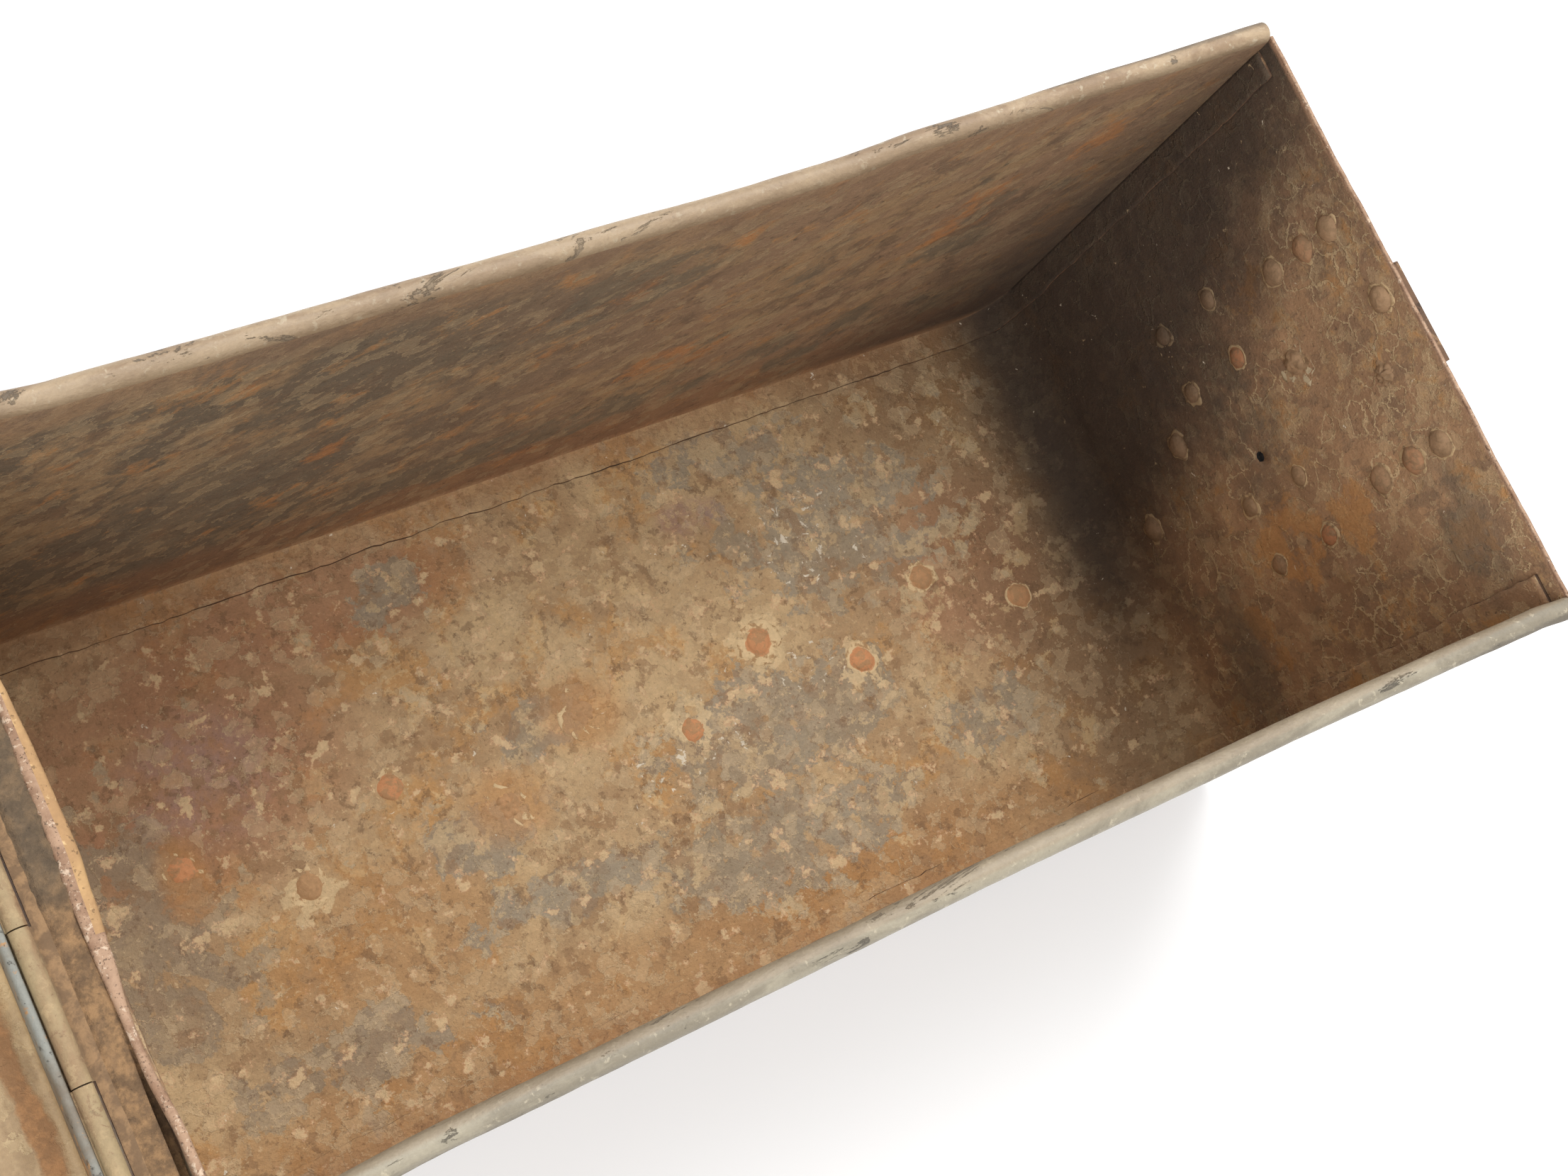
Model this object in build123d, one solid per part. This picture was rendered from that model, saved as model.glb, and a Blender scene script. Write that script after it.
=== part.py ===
from build123d import *
import os

os.makedirs("parts", exist_ok=True)

# A steel tool box, millimetres. The origin is the centre of the rest face under
# the centre strap. X runs along the length, away from the hinge. Z is up.

# ---- driving dimensions -------------------------------------------------
SHEET = 1.2  # body and lid sheet
HALF_L = 231.4  # half the inner length
HALF_W = 105.0  # half the inner width
DEPTH = 219.5  # floor to the top of the rim
CORNER_R = 22.0  # inner radius where the wrap turns up into the ends
STRAP_T = 3.0
STRAP_W = 38.0
FLANGE = 11.0  # lap of a side panel's flange on the wrap
WIRE_R = 2.5  # wire rolled into each long rim
RIVET_R = 2.5
HOLE_GAP = 0.05  # a rivet's hole is this much larger in radius
HEAD_R = 4.9
HEAD_H = 2.4
SMALL_HEAD_R = 3.8
SMALL_HEAD_H = 1.7

FLOOR_Z = STRAP_T + SHEET
RIM_Z = FLOOR_Z + DEPTH
OUT_L = HALF_L + SHEET  # outer face of an end wall
OUT_W = HALF_W + SHEET
BEAD_R = WIRE_R + SHEET
BEAD_Y = HALF_W + BEAD_R
BEAD_Z = RIM_Z - BEAD_R

# hinge at the -X end
AXIS_X = -HALF_L - 17.0
AXIS_Z = RIM_Z - 2.6
KNUCKLE_R = 2.6
BORE_R = 1.4
PIN_R = 1.35
KNUCKLE_L = 40.0
KNUCKLE_GAP = 0.4
LEDGE_Z = AXIS_Z - KNUCKLE_R  # underside of the ledge
LEAF_DROP = 32.0  # rim to the foot of the body leaf

# lid, drawn shut and turned open about the hinge axis at the end
LID_X0 = AXIS_X + 3.0  # outer face of the hinge end skirt
LID_X1 = OUT_L + STRAP_T + 0.8 + 2 * SHEET
LID_Y = BEAD_Y + BEAD_R + 1.0 + 2 * SHEET
LID_Z0 = RIM_Z - 3.7
LID_IN_Z = RIM_Z + 18.0
HEM_H = 8.0
END_HEM = 7.0  # fold inside each end rim

# draw latches on the +X end, offsets from the wall face and from the rim
LATCH_Y = 41.3
LATCH_PIVOT = (7.0, -29.0)
LOOP_PIVOT = (7.0, -38.0)
LOOP_L = 42.9
LOOP_WIRE_R = 1.3
LEVER_L = 31.0

# drop handles on both ends
HANDLE_Y = 36.5  # bracket centre from the middle plane
HANDLE_Z = RIM_Z - 109.0
HANDLE_X = 9.0  # rod axis from the wall face
ROD_R = 4.0
EYE_R = 6.3
EYE_BORE = 4.07
EYE_L = 15.0
LEG_Y = 54.0
GRIP_DROP = 46.0
BRACKET_RIVET_Y = 12.2
BRACKET_RIVET_Z = 16.4

STRAP_ROW = 10.7
STRAP_PITCH = 77.2


# ---- helpers ------------------------------------------------------------
def slab(x0, x1, y0, y1, z0, z1):
    """A block between opposite corners."""
    block = Box(abs(x1 - x0), abs(y1 - y0), abs(z1 - z0))
    return Pos((x0 + x1) / 2, (y0 + y1) / 2, (z0 + z1) / 2) * block


def rod(p, direction, radius, length):
    """A round bar from p along a direction."""
    plane = Plane(origin=p, z_dir=direction)
    return Solid.make_cylinder(radius, length, plane)


def dome(p, direction, radius, height):
    """A domed head standing on p, pointing along a direction."""
    ball = (radius**2 + height**2) / (2 * height)
    cut = rod((0, 0, 0), (0, 0, 1), radius + 1, height + 1)
    cap = (Pos(0, 0, height - ball) * Sphere(ball)) & cut
    return Plane(origin=p, z_dir=direction) * cap


def rivet(p, direction, grip, head, tail=None):
    """Head on p, shank through grip the other way, and a tail head if one is given."""
    x, y, z = p
    dx, dy, dz = direction
    back = (-dx, -dy, -dz)
    end = (x - dx * grip, y - dy * grip, z - dz * grip)
    body = dome(p, direction, *head) + rod(p, back, RIVET_R, grip)
    if tail:
        body += dome(end, back, *tail)
    return body


def hole(p, direction, length=12.0, radius=RIVET_R + HOLE_GAP):
    """A cutter centred on p."""
    x, y, z = p
    dx, dy, dz = direction
    half = length / 2
    return rod((x - dx * half, y - dy * half, z - dz * half), direction, radius, length)


def tub(half_l, floor, top, half_w, radius):
    """A block with its two lower long edges rounded, the shape the wrap is bent to."""
    block = slab(-half_l, half_l, -half_w, half_w, floor, top)
    low = block.edges().filter_by(Axis.Y).group_by(Axis.Z)[0]
    return fillet(low, radius)


def cut(part, cutters):
    for c in cutters:
        part = part - c
    return part


def save(name, part):
    solids = part.solids()
    if len(solids) == 1:
        part = solids[0]
    else:
        part = Compound(children=list(solids))
    export_step(part, f"parts/{name}.step")


def split_at(part, *regions):
    """The solids of a part inside each region, for a sheet that is divided at its bend lines."""
    solids = []
    for region in regions:
        solids += list((part & region).solids())
    return Compound(children=solids)


def bend_regions(half_l, floor, radius):
    """Floor, both bends and both ends of a sheet bent up at its ends."""
    x, z, far = half_l - radius, floor + radius, 600
    return [
        slab(-x, x, -far, far, -far, z),
        slab(-far, -x, -far, far, -far, z),
        slab(x, far, -far, far, -far, z),
        slab(-far, -x, -far, far, z, far),
        slab(x, far, -far, far, z, far),
    ]


def mirror_x(part):
    return part.mirror(Plane.YZ)


def mirror_y(part):
    return part.mirror(Plane.XZ)


# ---- where the fasteners go ---------------------------------------------
floor_rivets = [(-164.3 + STRAP_PITCH * i, STRAP_ROW) for i in range(5)]
floor_rivets += [(-127.0 + STRAP_PITCH * i, -STRAP_ROW) for i in range(5)]
right_strap = [(STRAP_ROW, -14.0), (-STRAP_ROW, -28.7), (STRAP_ROW, -66.8)]
right_strap += [(STRAP_ROW, -147.3), (-STRAP_ROW, -185.8)]
left_strap = [(STRAP_ROW, -66.8), (-STRAP_ROW, -107.0)]
left_strap += [(STRAP_ROW, -147.3), (-STRAP_ROW, -185.8)]
lost_rivet = (-STRAP_ROW, -107.0)
latch_rows = [(s * LATCH_Y, z) for s in (-1, 1) for z in (-20.7, -35.9, -54.8)]
bracket_rows = [
    (s * (HANDLE_Y + a * BRACKET_RIVET_Y), HANDLE_Z - RIM_Z + b * BRACKET_RIVET_Z)
    for s in (-1, 1)
    for a in (-1, 1)
    for b in (-1, 1)
]
hinge_outer = [(y, -20.0) for y in (-84.0, -48.0, 48.0, 84.0)]
hinge_strap = [(y, -20.0) for y in (-STRAP_ROW, STRAP_ROW)]
lid_leaf_rows = [(y, RIM_Z + 8.0) for y in (-84.0, -12.0, 12.0, 84.0)]
catch_rows = [(s * LATCH_Y + d, RIM_Z + 10.5) for s in (-1, 1) for d in (-4.5, 4.5)]

X = (1, 0, 0)
Y = (0, 1, 0)
Z = (0, 0, 1)

# ---- body sheet ---------------------------------------------------------
WALL_TOP = RIM_Z - 1.6
wrap = tub(OUT_L, STRAP_T, WALL_TOP, OUT_W, CORNER_R + SHEET)
wrap -= tub(HALF_L, FLOOR_Z, WALL_TOP + 5, OUT_W + 5, CORNER_R)
for s in (-1, 1):
    wrap += slab(s * (HALF_L - SHEET), s * HALF_L, -HALF_W, HALF_W, WALL_TOP - END_HEM, WALL_TOP)
floor_cuts = [hole((x, y, STRAP_T), Z) for x, y in floor_rivets]
right_cuts = [hole((OUT_L, y, RIM_Z + z), X) for y, z in right_strap + latch_rows + bracket_rows]
lost_cut = [hole((OUT_L, lost_rivet[0], RIM_Z + lost_rivet[1]), X)]
left_all = left_strap + hinge_outer + hinge_strap + bracket_rows
left_cuts = [hole((-OUT_L, y, RIM_Z + z), X) for y, z in left_all]
wrap = cut(wrap, floor_cuts + right_cuts + lost_cut + left_cuts)
BENDS = bend_regions(HALF_L, FLOOR_Z, CORNER_R)
save("wrap_sheet", split_at(wrap, *BENDS))

strap = tub(OUT_L + STRAP_T, 0, RIM_Z - 3.2, STRAP_W / 2, CORNER_R + SHEET + STRAP_T)
strap -= tub(OUT_L, STRAP_T, RIM_Z + 5, STRAP_W, CORNER_R + SHEET)
strap -= slab(-OUT_L - 5, -OUT_L + 1, -STRAP_W, STRAP_W, RIM_Z - 7.0, RIM_Z)
strap = cut(strap, floor_cuts + right_cuts + lost_cut + left_cuts)
save("centre_strap", split_at(strap, *BENDS))


def side_panel():
    """The +Y panel: flat side, lapped flange round three edges, rolled rim."""
    outline = tub(HALF_L, FLOOR_Z, BEAD_Z, OUT_W, CORNER_R)
    plate = outline & slab(-300, 300, HALF_W, OUT_W, 0, 300)
    ring = outline - tub(HALF_L - SHEET, FLOOR_Z + SHEET, RIM_Z + 5, OUT_W + 5, CORNER_R - SHEET)
    ring = ring & slab(-300, 300, HALF_W - FLANGE, HALF_W, 0, RIM_Z - 9.0)
    start = (-HALF_L, BEAD_Y, BEAD_Z)
    curl = rod(start, X, BEAD_R, 2 * HALF_L) - rod(start, X, WIRE_R, 2 * HALF_L)
    mouth = slab(-300, 300, HALF_W - 1, BEAD_Y - 1.0, BEAD_Z - BEAD_R - 1, BEAD_Z)
    curl -= mouth
    strips = split_at(ring, *BENDS)
    return Compound(children=[*plate.solids(), *strips.solids(), *curl.solids()])


back = side_panel()
save("back_side_panel", back)
save("front_side_panel", mirror_y(back))
wire = rod((-HALF_L + 0.6, BEAD_Y, BEAD_Z), X, WIRE_R - 0.02, 2 * HALF_L - 1.2)
save("back_rim_wire", wire)
save("front_rim_wire", mirror_y(wire))

# ---- rivets through the strap, missing the lost one ---------------------
big = (HEAD_R, HEAD_H)
small = (SMALL_HEAD_R, SMALL_HEAD_H)
floor_set = [rivet((x, y, FLOOR_Z), Z, SHEET + STRAP_T, big) for x, y in floor_rivets]
end_grip = SHEET + STRAP_T
right_set = [rivet((HALF_L, y, RIM_Z + z), (-1, 0, 0), end_grip, big, small) for y, z in right_strap]
left_set = [rivet((-HALF_L, y, RIM_Z + z), X, end_grip, big, small) for y, z in left_strap]
save("strap_rivets", Compound(children=floor_set + right_set + left_set))

# ---- hinge --------------------------------------------------------------
SPANS = [(KNUCKLE_L * (i - 2.5), KNUCKLE_L * (i - 1.5)) for i in range(5)]
GAP = KNUCKLE_GAP / 2


def knuckle(y0, y1):
    ring = rod((AXIS_X, y0 + GAP, AXIS_Z), Y, KNUCKLE_R, y1 - y0 - 2 * GAP)
    return ring


def pin_bore():
    return rod((AXIS_X, -3 * KNUCKLE_L, AXIS_Z), Y, BORE_R, 6 * KNUCKLE_L)


HALF_H = 2.5 * KNUCKLE_L - GAP
leaf_x = -OUT_L - STRAP_T  # inner face of the upright part
ledge = slab(AXIS_X, leaf_x, -HALF_H, HALF_H, LEDGE_Z, LEDGE_Z + SHEET)
upright = slab(leaf_x - SHEET, leaf_x, -HALF_H, HALF_H, RIM_Z - LEAF_DROP, LEDGE_Z + SHEET)
body_leaf = ledge + upright
bend = body_leaf.edges().filter_by(Axis.Y).group_by(Axis.Z)[-1].sort_by(Axis.X)[-1]
body_leaf = fillet(bend, 1.0)
for i, (y0, y1) in enumerate(SPANS):
    if i % 2:
        body_leaf += knuckle(y0, y1)
    else:
        body_leaf -= slab(AXIS_X - 5, LID_X0 + 0.4, y0 - GAP, y1 + GAP, LEDGE_Z - 1, AXIS_Z + 5)
body_leaf -= pin_bore()
save("hinge_body_leaf", cut(body_leaf, left_cuts))
save("hinge_pin", rod((AXIS_X, -HALF_H - 1.5, AXIS_Z), Y, PIN_R, 2 * HALF_H + 3))

spacer = [
    rod((leaf_x, y, RIM_Z + z), X, 6.0, STRAP_T) - hole((leaf_x, y, RIM_Z + z), X)
    for y, z in hinge_outer
]
save("hinge_spacers", Compound(children=spacer))
hinge_grip = 2 * SHEET + STRAP_T
hinge_set = [rivet((-HALF_L, y, RIM_Z + z), X, hinge_grip, small, small) for y, z in hinge_outer + hinge_strap]
save("hinge_body_rivets", Compound(children=hinge_set))


# ---- lid, shut ----------------------------------------------------------
def opened(part):
    """Turn a shut piece half a turn about the hinge axis."""
    return part.rotate(Axis((AXIS_X, 0, AXIS_Z), Y), 180)


def pan_block(inset, bottom, top, side_r, top_r):
    block = slab(LID_X0 + inset, LID_X1 - inset, -LID_Y + inset, LID_Y - inset, bottom, top)
    block = fillet(block.edges().filter_by(Axis.Z), side_r)
    if top_r:
        block = fillet(block.faces().sort_by(Axis.Z)[-1].edges(), top_r)
    return block


LID_R = 11.0
PRESS_R = 3.2
pan = pan_block(0, LID_Z0, LID_IN_Z + SHEET, LID_R, PRESS_R)
pan -= pan_block(SHEET, LID_Z0 - 5, LID_IN_Z, LID_R - SHEET, PRESS_R - SHEET)
hem = pan_block(SHEET, LID_Z0, LID_Z0 + HEM_H, LID_R - SHEET, 0)
hem -= pan_block(2 * SHEET, LID_Z0 - 5, LID_Z0 + HEM_H + 5, LID_R - 2 * SHEET, 0)
pan += hem
leaf_holes = [hole((LID_X0, y, z), X, 8, 2.0 + HOLE_GAP) for y, z in lid_leaf_rows]
catch_holes = [hole((LID_X1, y, z), X, 8, 2.0 + HOLE_GAP) for y, z in catch_rows]
pan = cut(pan, leaf_holes + catch_holes)
SKIRT_Z = LID_IN_Z + SHEET - PRESS_R
skirt_x = (-600, LID_X0 + LID_R, LID_X1 - LID_R, 600)
skirt_y = (-600, -LID_Y + LID_R, LID_Y - LID_R, 600)
lid_regions = [slab(-600, 600, -600, 600, SKIRT_Z, 600)]
lid_regions += [
    slab(skirt_x[i], skirt_x[i + 1], skirt_y[j], skirt_y[j + 1], 0, SKIRT_Z)
    for i in range(3)
    for j in range(3)
    if (i, j) != (1, 1)
]
save("lid_pan", opened(split_at(pan, *lid_regions)))

lid_leaf = slab(LID_X0 - SHEET, LID_X0, -HALF_H, HALF_H, AXIS_Z, RIM_Z + 14.0)
for i, (y0, y1) in enumerate(SPANS):
    if i % 2:
        lid_leaf -= slab(LID_X0 - 5, LID_X0 + 5, y0 - GAP, y1 + GAP, AXIS_Z - 5, RIM_Z + 0.6)
    else:
        lid_leaf += knuckle(y0, y1)
lid_leaf -= pin_bore()
save("hinge_lid_leaf", opened(cut(lid_leaf, leaf_holes)))


def small_rivet(p, direction, grip):
    x, y, z = p
    dx, dy, dz = direction
    back_way = (-dx, -dy, -dz)
    end = (x - dx * grip, y - dy * grip, z - dz * grip)
    body = dome(p, direction, 3.2, 1.4) + rod(p, back_way, 2.0, grip)
    return body + dome(end, back_way, 3.2, 1.4)


leaf_set = [small_rivet((LID_X0 + SHEET, y, z), X, 2 * SHEET) for y, z in lid_leaf_rows]
save("hinge_lid_rivets", opened(Compound(children=leaf_set)))

# catches on the lid's latch end
HOOK_W = 16.0
face = LID_X1
hook = slab(face, face + SHEET, -HOOK_W / 2, HOOK_W / 2, RIM_Z + 2.0, RIM_Z + 15.0)
hook += slab(face, face + 6.3, -HOOK_W / 2, HOOK_W / 2, RIM_Z + 2.0, RIM_Z + 3.2)
hook += slab(face + 5.1, face + 6.3, -HOOK_W / 2, HOOK_W / 2, RIM_Z + 2.0, RIM_Z + 7.0)
for side, s in (("front", -1), ("back", 1)):
    one = cut(Pos(0, s * LATCH_Y, 0) * hook, catch_holes)
    save(f"catch_{side}", opened(one))
catch_set = [small_rivet((LID_X1 + SHEET, y, z), X, 2 * SHEET) for y, z in catch_rows]
save("catch_rivets", opened(Compound(children=catch_set)))


# ---- draw latches -------------------------------------------------------
def on_wall(u, y, z):
    """A point given by distance from the +X wall face, and height from the rim."""
    return (OUT_L + u, y, RIM_Z + z)


def wall_slab(u0, u1, y0, y1, z0, z1):
    return slab(OUT_L + u0, OUT_L + u1, y0, y1, RIM_Z + z0, RIM_Z + z1)


BASE_T = 1.5
EAR_IN = 5.5
EAR_OUT = 7.0
LEVER_IN = 7.4
LEVER_OUT = 8.8
LATCH_PIN_R = 1.5
pu, pz = LATCH_PIVOT
qu, qz = LOOP_PIVOT

base = wall_slab(0, BASE_T, -12, 12, -62.0, -13.5)
base = fillet(base.edges().filter_by(Axis.X), 3.0)
for s in (-1, 1):
    ear = wall_slab(BASE_T, pu, s * EAR_IN, s * EAR_OUT, pz - 3.4, pz + 3.4)
    tip = rod(on_wall(pu, min(s * EAR_IN, s * EAR_OUT), pz), Y, 3.4, EAR_OUT - EAR_IN)
    base += ear + tip
base -= rod(on_wall(pu, -10, pz), Y, LATCH_PIN_R + 0.01, 20)

lever = wall_slab(pu + 1.8, pu + 3.2, -LEVER_OUT, LEVER_OUT, pz - LEVER_L, pz - 4.2)
for s in (-1, 1):
    cheek = wall_slab(pu - 2.2, pu + 3.2, s * LEVER_IN, s * LEVER_OUT, pz - LEVER_L + 3, pz)
    boss = rod(on_wall(pu, min(s * LEVER_IN, s * LEVER_OUT), pz), Y, 3.2, LEVER_OUT - LEVER_IN)
    lever += cheek + boss
lip = wall_slab(pu + 1.8, pu + 6.0, -LEVER_OUT, LEVER_OUT, pz - LEVER_L - 1.2, pz - LEVER_L)
lever += lip
lever -= rod(on_wall(pu, -12, pz), Y, LATCH_PIN_R + 0.06, 24)
lever -= rod(on_wall(qu, -12, qz), Y, LOOP_WIRE_R + 0.06, 24)
pin = rod(on_wall(pu, -LEVER_OUT - 0.5, pz), Y, LATCH_PIN_R, 2 * LEVER_OUT + 1)
for s in (-1, 1):
    y = s * (LEVER_OUT + 0.4)
    pin += rod(on_wall(pu, min(y, y + s * 0.7), pz), Y, 2.2, 0.7)

LOOP_Y = LEVER_OUT + 1.4 + LOOP_WIRE_R
INNER_END = EAR_OUT + 0.35
with BuildLine() as loop_path:
    pts = [(0, -INNER_END, 0), (0, -LOOP_Y, 0), (0, -LOOP_Y, -LOOP_L)]
    pts += [(0, LOOP_Y, -LOOP_L), (0, LOOP_Y, 0), (0, INNER_END, 0)]
    FilletPolyline(*pts, radius=1.45)
start = Plane(origin=(0, -INNER_END, 0), z_dir=(0, -1, 0))
loop = sweep(start * Circle(LOOP_WIRE_R), path=loop_path.line)
loop = Pos(*on_wall(qu, 0, qz)) * loop

for side, s in (("front", -1), ("back", 1)):
    move = Pos(0, s * LATCH_Y, 0)
    save(f"latch_base_{side}", cut(move * base, right_cuts))
    save(f"latch_pin_{side}", move * pin)
    save(f"latch_lever_{side}", move * lever)
    save(f"latch_loop_{side}", move * loop)
latch_set = [rivet(on_wall(-SHEET, y, z), (-1, 0, 0), SHEET + BASE_T, big, small) for y, z in latch_rows]
save("latch_rivets", Compound(children=latch_set))

# ---- drop handles -------------------------------------------------------
BRACKET_T = 2.0
hz = HANDLE_Z - RIM_Z
bracket = wall_slab(0, BRACKET_T, -17, 17, hz - 21.5, hz + 21.5)
bracket = fillet(bracket.edges().filter_by(Axis.X), 5.0)
bracket += wall_slab(BRACKET_T, HANDLE_X, -EYE_L / 2, EYE_L / 2, hz - EYE_R, hz + EYE_R)
bracket += rod(on_wall(HANDLE_X, -EYE_L / 2, hz), Y, EYE_R, EYE_L)
bracket -= rod(on_wall(HANDLE_X, -EYE_L, hz), Y, EYE_BORE, 2 * EYE_L)

END_Y = HANDLE_Y - EYE_L / 2 - 3.0
with BuildLine() as bail_path:
    pts = [(0, -END_Y, 0), (0, -LEG_Y, 0), (0, -LEG_Y, -GRIP_DROP)]
    pts += [(0, LEG_Y, -GRIP_DROP), (0, LEG_Y, 0), (0, END_Y, 0)]
    FilletPolyline(*pts, radius=9.0)
start = Plane(origin=(0, -END_Y, 0), z_dir=(0, -1, 0))
bail = sweep(start * Circle(ROD_R), path=bail_path.line)
bail = Pos(*on_wall(HANDLE_X, 0, hz)) * bail

for side, s in (("front", -1), ("back", 1)):
    one = cut(Pos(0, s * HANDLE_Y, 0) * bracket, right_cuts)
    save(f"latch_end_bracket_{side}", one)
    save(f"hinge_end_bracket_{side}", mirror_x(one))
save("latch_end_bail", bail)
save("hinge_end_bail", mirror_x(bail))
bracket_set = [
    rivet(on_wall(-SHEET, y, z), (-1, 0, 0), SHEET + BRACKET_T, small, small)
    for y, z in bracket_rows
]
both = bracket_set + [mirror_x(r) for r in bracket_set]
save("bracket_rivets", Compound(children=both))
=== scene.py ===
"""Looks for the rusted steel tool box: detailed sheet metal, rivets, dirt, materials, studio and camera."""

import math
import random

import bmesh
import bpy
from mathutils import Matrix, Vector, noise


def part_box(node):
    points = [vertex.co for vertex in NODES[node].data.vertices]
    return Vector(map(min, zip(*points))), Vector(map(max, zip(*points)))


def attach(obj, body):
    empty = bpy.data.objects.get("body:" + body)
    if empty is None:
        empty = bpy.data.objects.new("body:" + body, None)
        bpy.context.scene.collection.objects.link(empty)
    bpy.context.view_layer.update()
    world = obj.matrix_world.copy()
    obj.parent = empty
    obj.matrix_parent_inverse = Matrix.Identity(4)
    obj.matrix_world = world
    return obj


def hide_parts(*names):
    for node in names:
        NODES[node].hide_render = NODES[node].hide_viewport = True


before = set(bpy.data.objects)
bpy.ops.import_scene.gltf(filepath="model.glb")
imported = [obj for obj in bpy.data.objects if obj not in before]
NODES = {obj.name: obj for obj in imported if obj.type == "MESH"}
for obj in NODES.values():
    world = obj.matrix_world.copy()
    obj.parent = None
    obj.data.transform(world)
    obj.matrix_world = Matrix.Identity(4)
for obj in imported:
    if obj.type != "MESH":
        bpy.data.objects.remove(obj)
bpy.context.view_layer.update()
MM = 0.001

# ---- sizes, from the frame and a few stock thicknesses
SHEET = 1.2 * MM
CORNER_R = 22.0 * MM
wrap_lo, wrap_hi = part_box("wrap_sheet")
panel_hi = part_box("back_side_panel")[1]
strap_lo, strap_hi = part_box("centre_strap")
leaf_lo, leaf_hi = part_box("hinge_body_leaf")
pin_lo, pin_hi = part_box("hinge_pin")
lid_lo, lid_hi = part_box("lid_pan")
HALF_L = wrap_hi[0] - SHEET
HALF_W = wrap_hi[1] - SHEET
FLOOR_Z = wrap_lo[2] + SHEET
END_TOP = wrap_hi[2]
RIM_Z = panel_hi[2]
BEAD_R = (panel_hi[1] - HALF_W) / 2
BEAD_Y = HALF_W + BEAD_R
BEAD_Z = RIM_Z - BEAD_R
STRAP_T = wrap_lo[2] - strap_lo[2]
FLANGE = 11.0 * MM
FLANGE_TOP = RIM_Z - 9.0 * MM
HINGE_X = (pin_lo[0] + pin_hi[0]) / 2
KNUCKLE_R = 2.6 * MM
LID_EDGE = lid_hi[0]


# ---- small helpers
def smooth(t):
    t = min(1.0, max(0.0, t))
    return t * t * (3 - 2 * t)


def along(knots, x):
    """Smooth value at x through (place, value) knots."""
    if x <= knots[0][0]:
        return knots[0][1]
    for (x0, v0), (x1, v1) in zip(knots, knots[1:]):
        if x <= x1:
            return v0 + (v1 - v0) * smooth((x - x0) / (x1 - x0))
    return knots[-1][1]


def rough(x, y, z, size, seed=0.0):
    """Smooth noise from -1 to 1 with features of about this size."""
    return noise.noise(Vector((x / size + seed, y / size - seed, z / size + 2 * seed)))


def make(name, verts, faces, body, slots, index=None, closed=False):
    """A mesh piece that rides on a body, with its materials."""
    mesh = bpy.data.meshes.new(name)
    mesh.from_pydata([tuple(v) for v in verts], [], faces)
    for material in slots:
        mesh.materials.append(material)
    if index:
        for poly, slot in zip(mesh.polygons, index):
            poly.material_index = slot
    for poly in mesh.polygons:
        poly.use_smooth = True
    mesh.validate()
    if closed:
        shell = bmesh.new()
        shell.from_mesh(mesh)
        bmesh.ops.recalc_face_normals(shell, faces=shell.faces)
        shell.to_mesh(mesh)
        shell.free()
    piece = bpy.data.objects.new(name, mesh)
    bpy.context.scene.collection.objects.link(piece)
    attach(piece, body)
    return piece


def thicken(piece, thickness, shift=1, rim=2):
    """Give a surface its sheet thickness, half to each side."""
    mod = piece.modifiers.new("sheet", "SOLIDIFY")
    mod.thickness = thickness
    mod.offset = 0.0
    mod.use_even_offset = True
    mod.thickness_clamp = 0.0
    mod.material_offset = shift
    mod.material_offset_rim = rim
    return mod


def grid_faces(rows, columns, start=0, loop=False):
    """Quads over rows of columns vertices."""
    faces = []
    last = columns if loop else columns - 1
    for r in range(rows - 1):
        for c in range(last):
            a = start + r * columns + c
            b = start + r * columns + (c + 1) % columns
            faces.append((a, b, b + columns, a + columns))
    return faces


def spread(low, high, step):
    """Evenly spaced values from low to high, at most step apart."""
    count = max(1, math.ceil(abs(high - low) / step))
    return [low + (high - low) * i / count for i in range(count + 1)]


# ---- materials
def srgb(r, g, b):
    """A colour given as 0-255 screen values, made linear."""
    out = []
    for c in (r, g, b):
        c = c / 255
        out.append(c / 12.92 if c <= 0.04045 else ((c + 0.055) / 1.055) ** 2.4)
    return (*out, 1.0)


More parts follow.
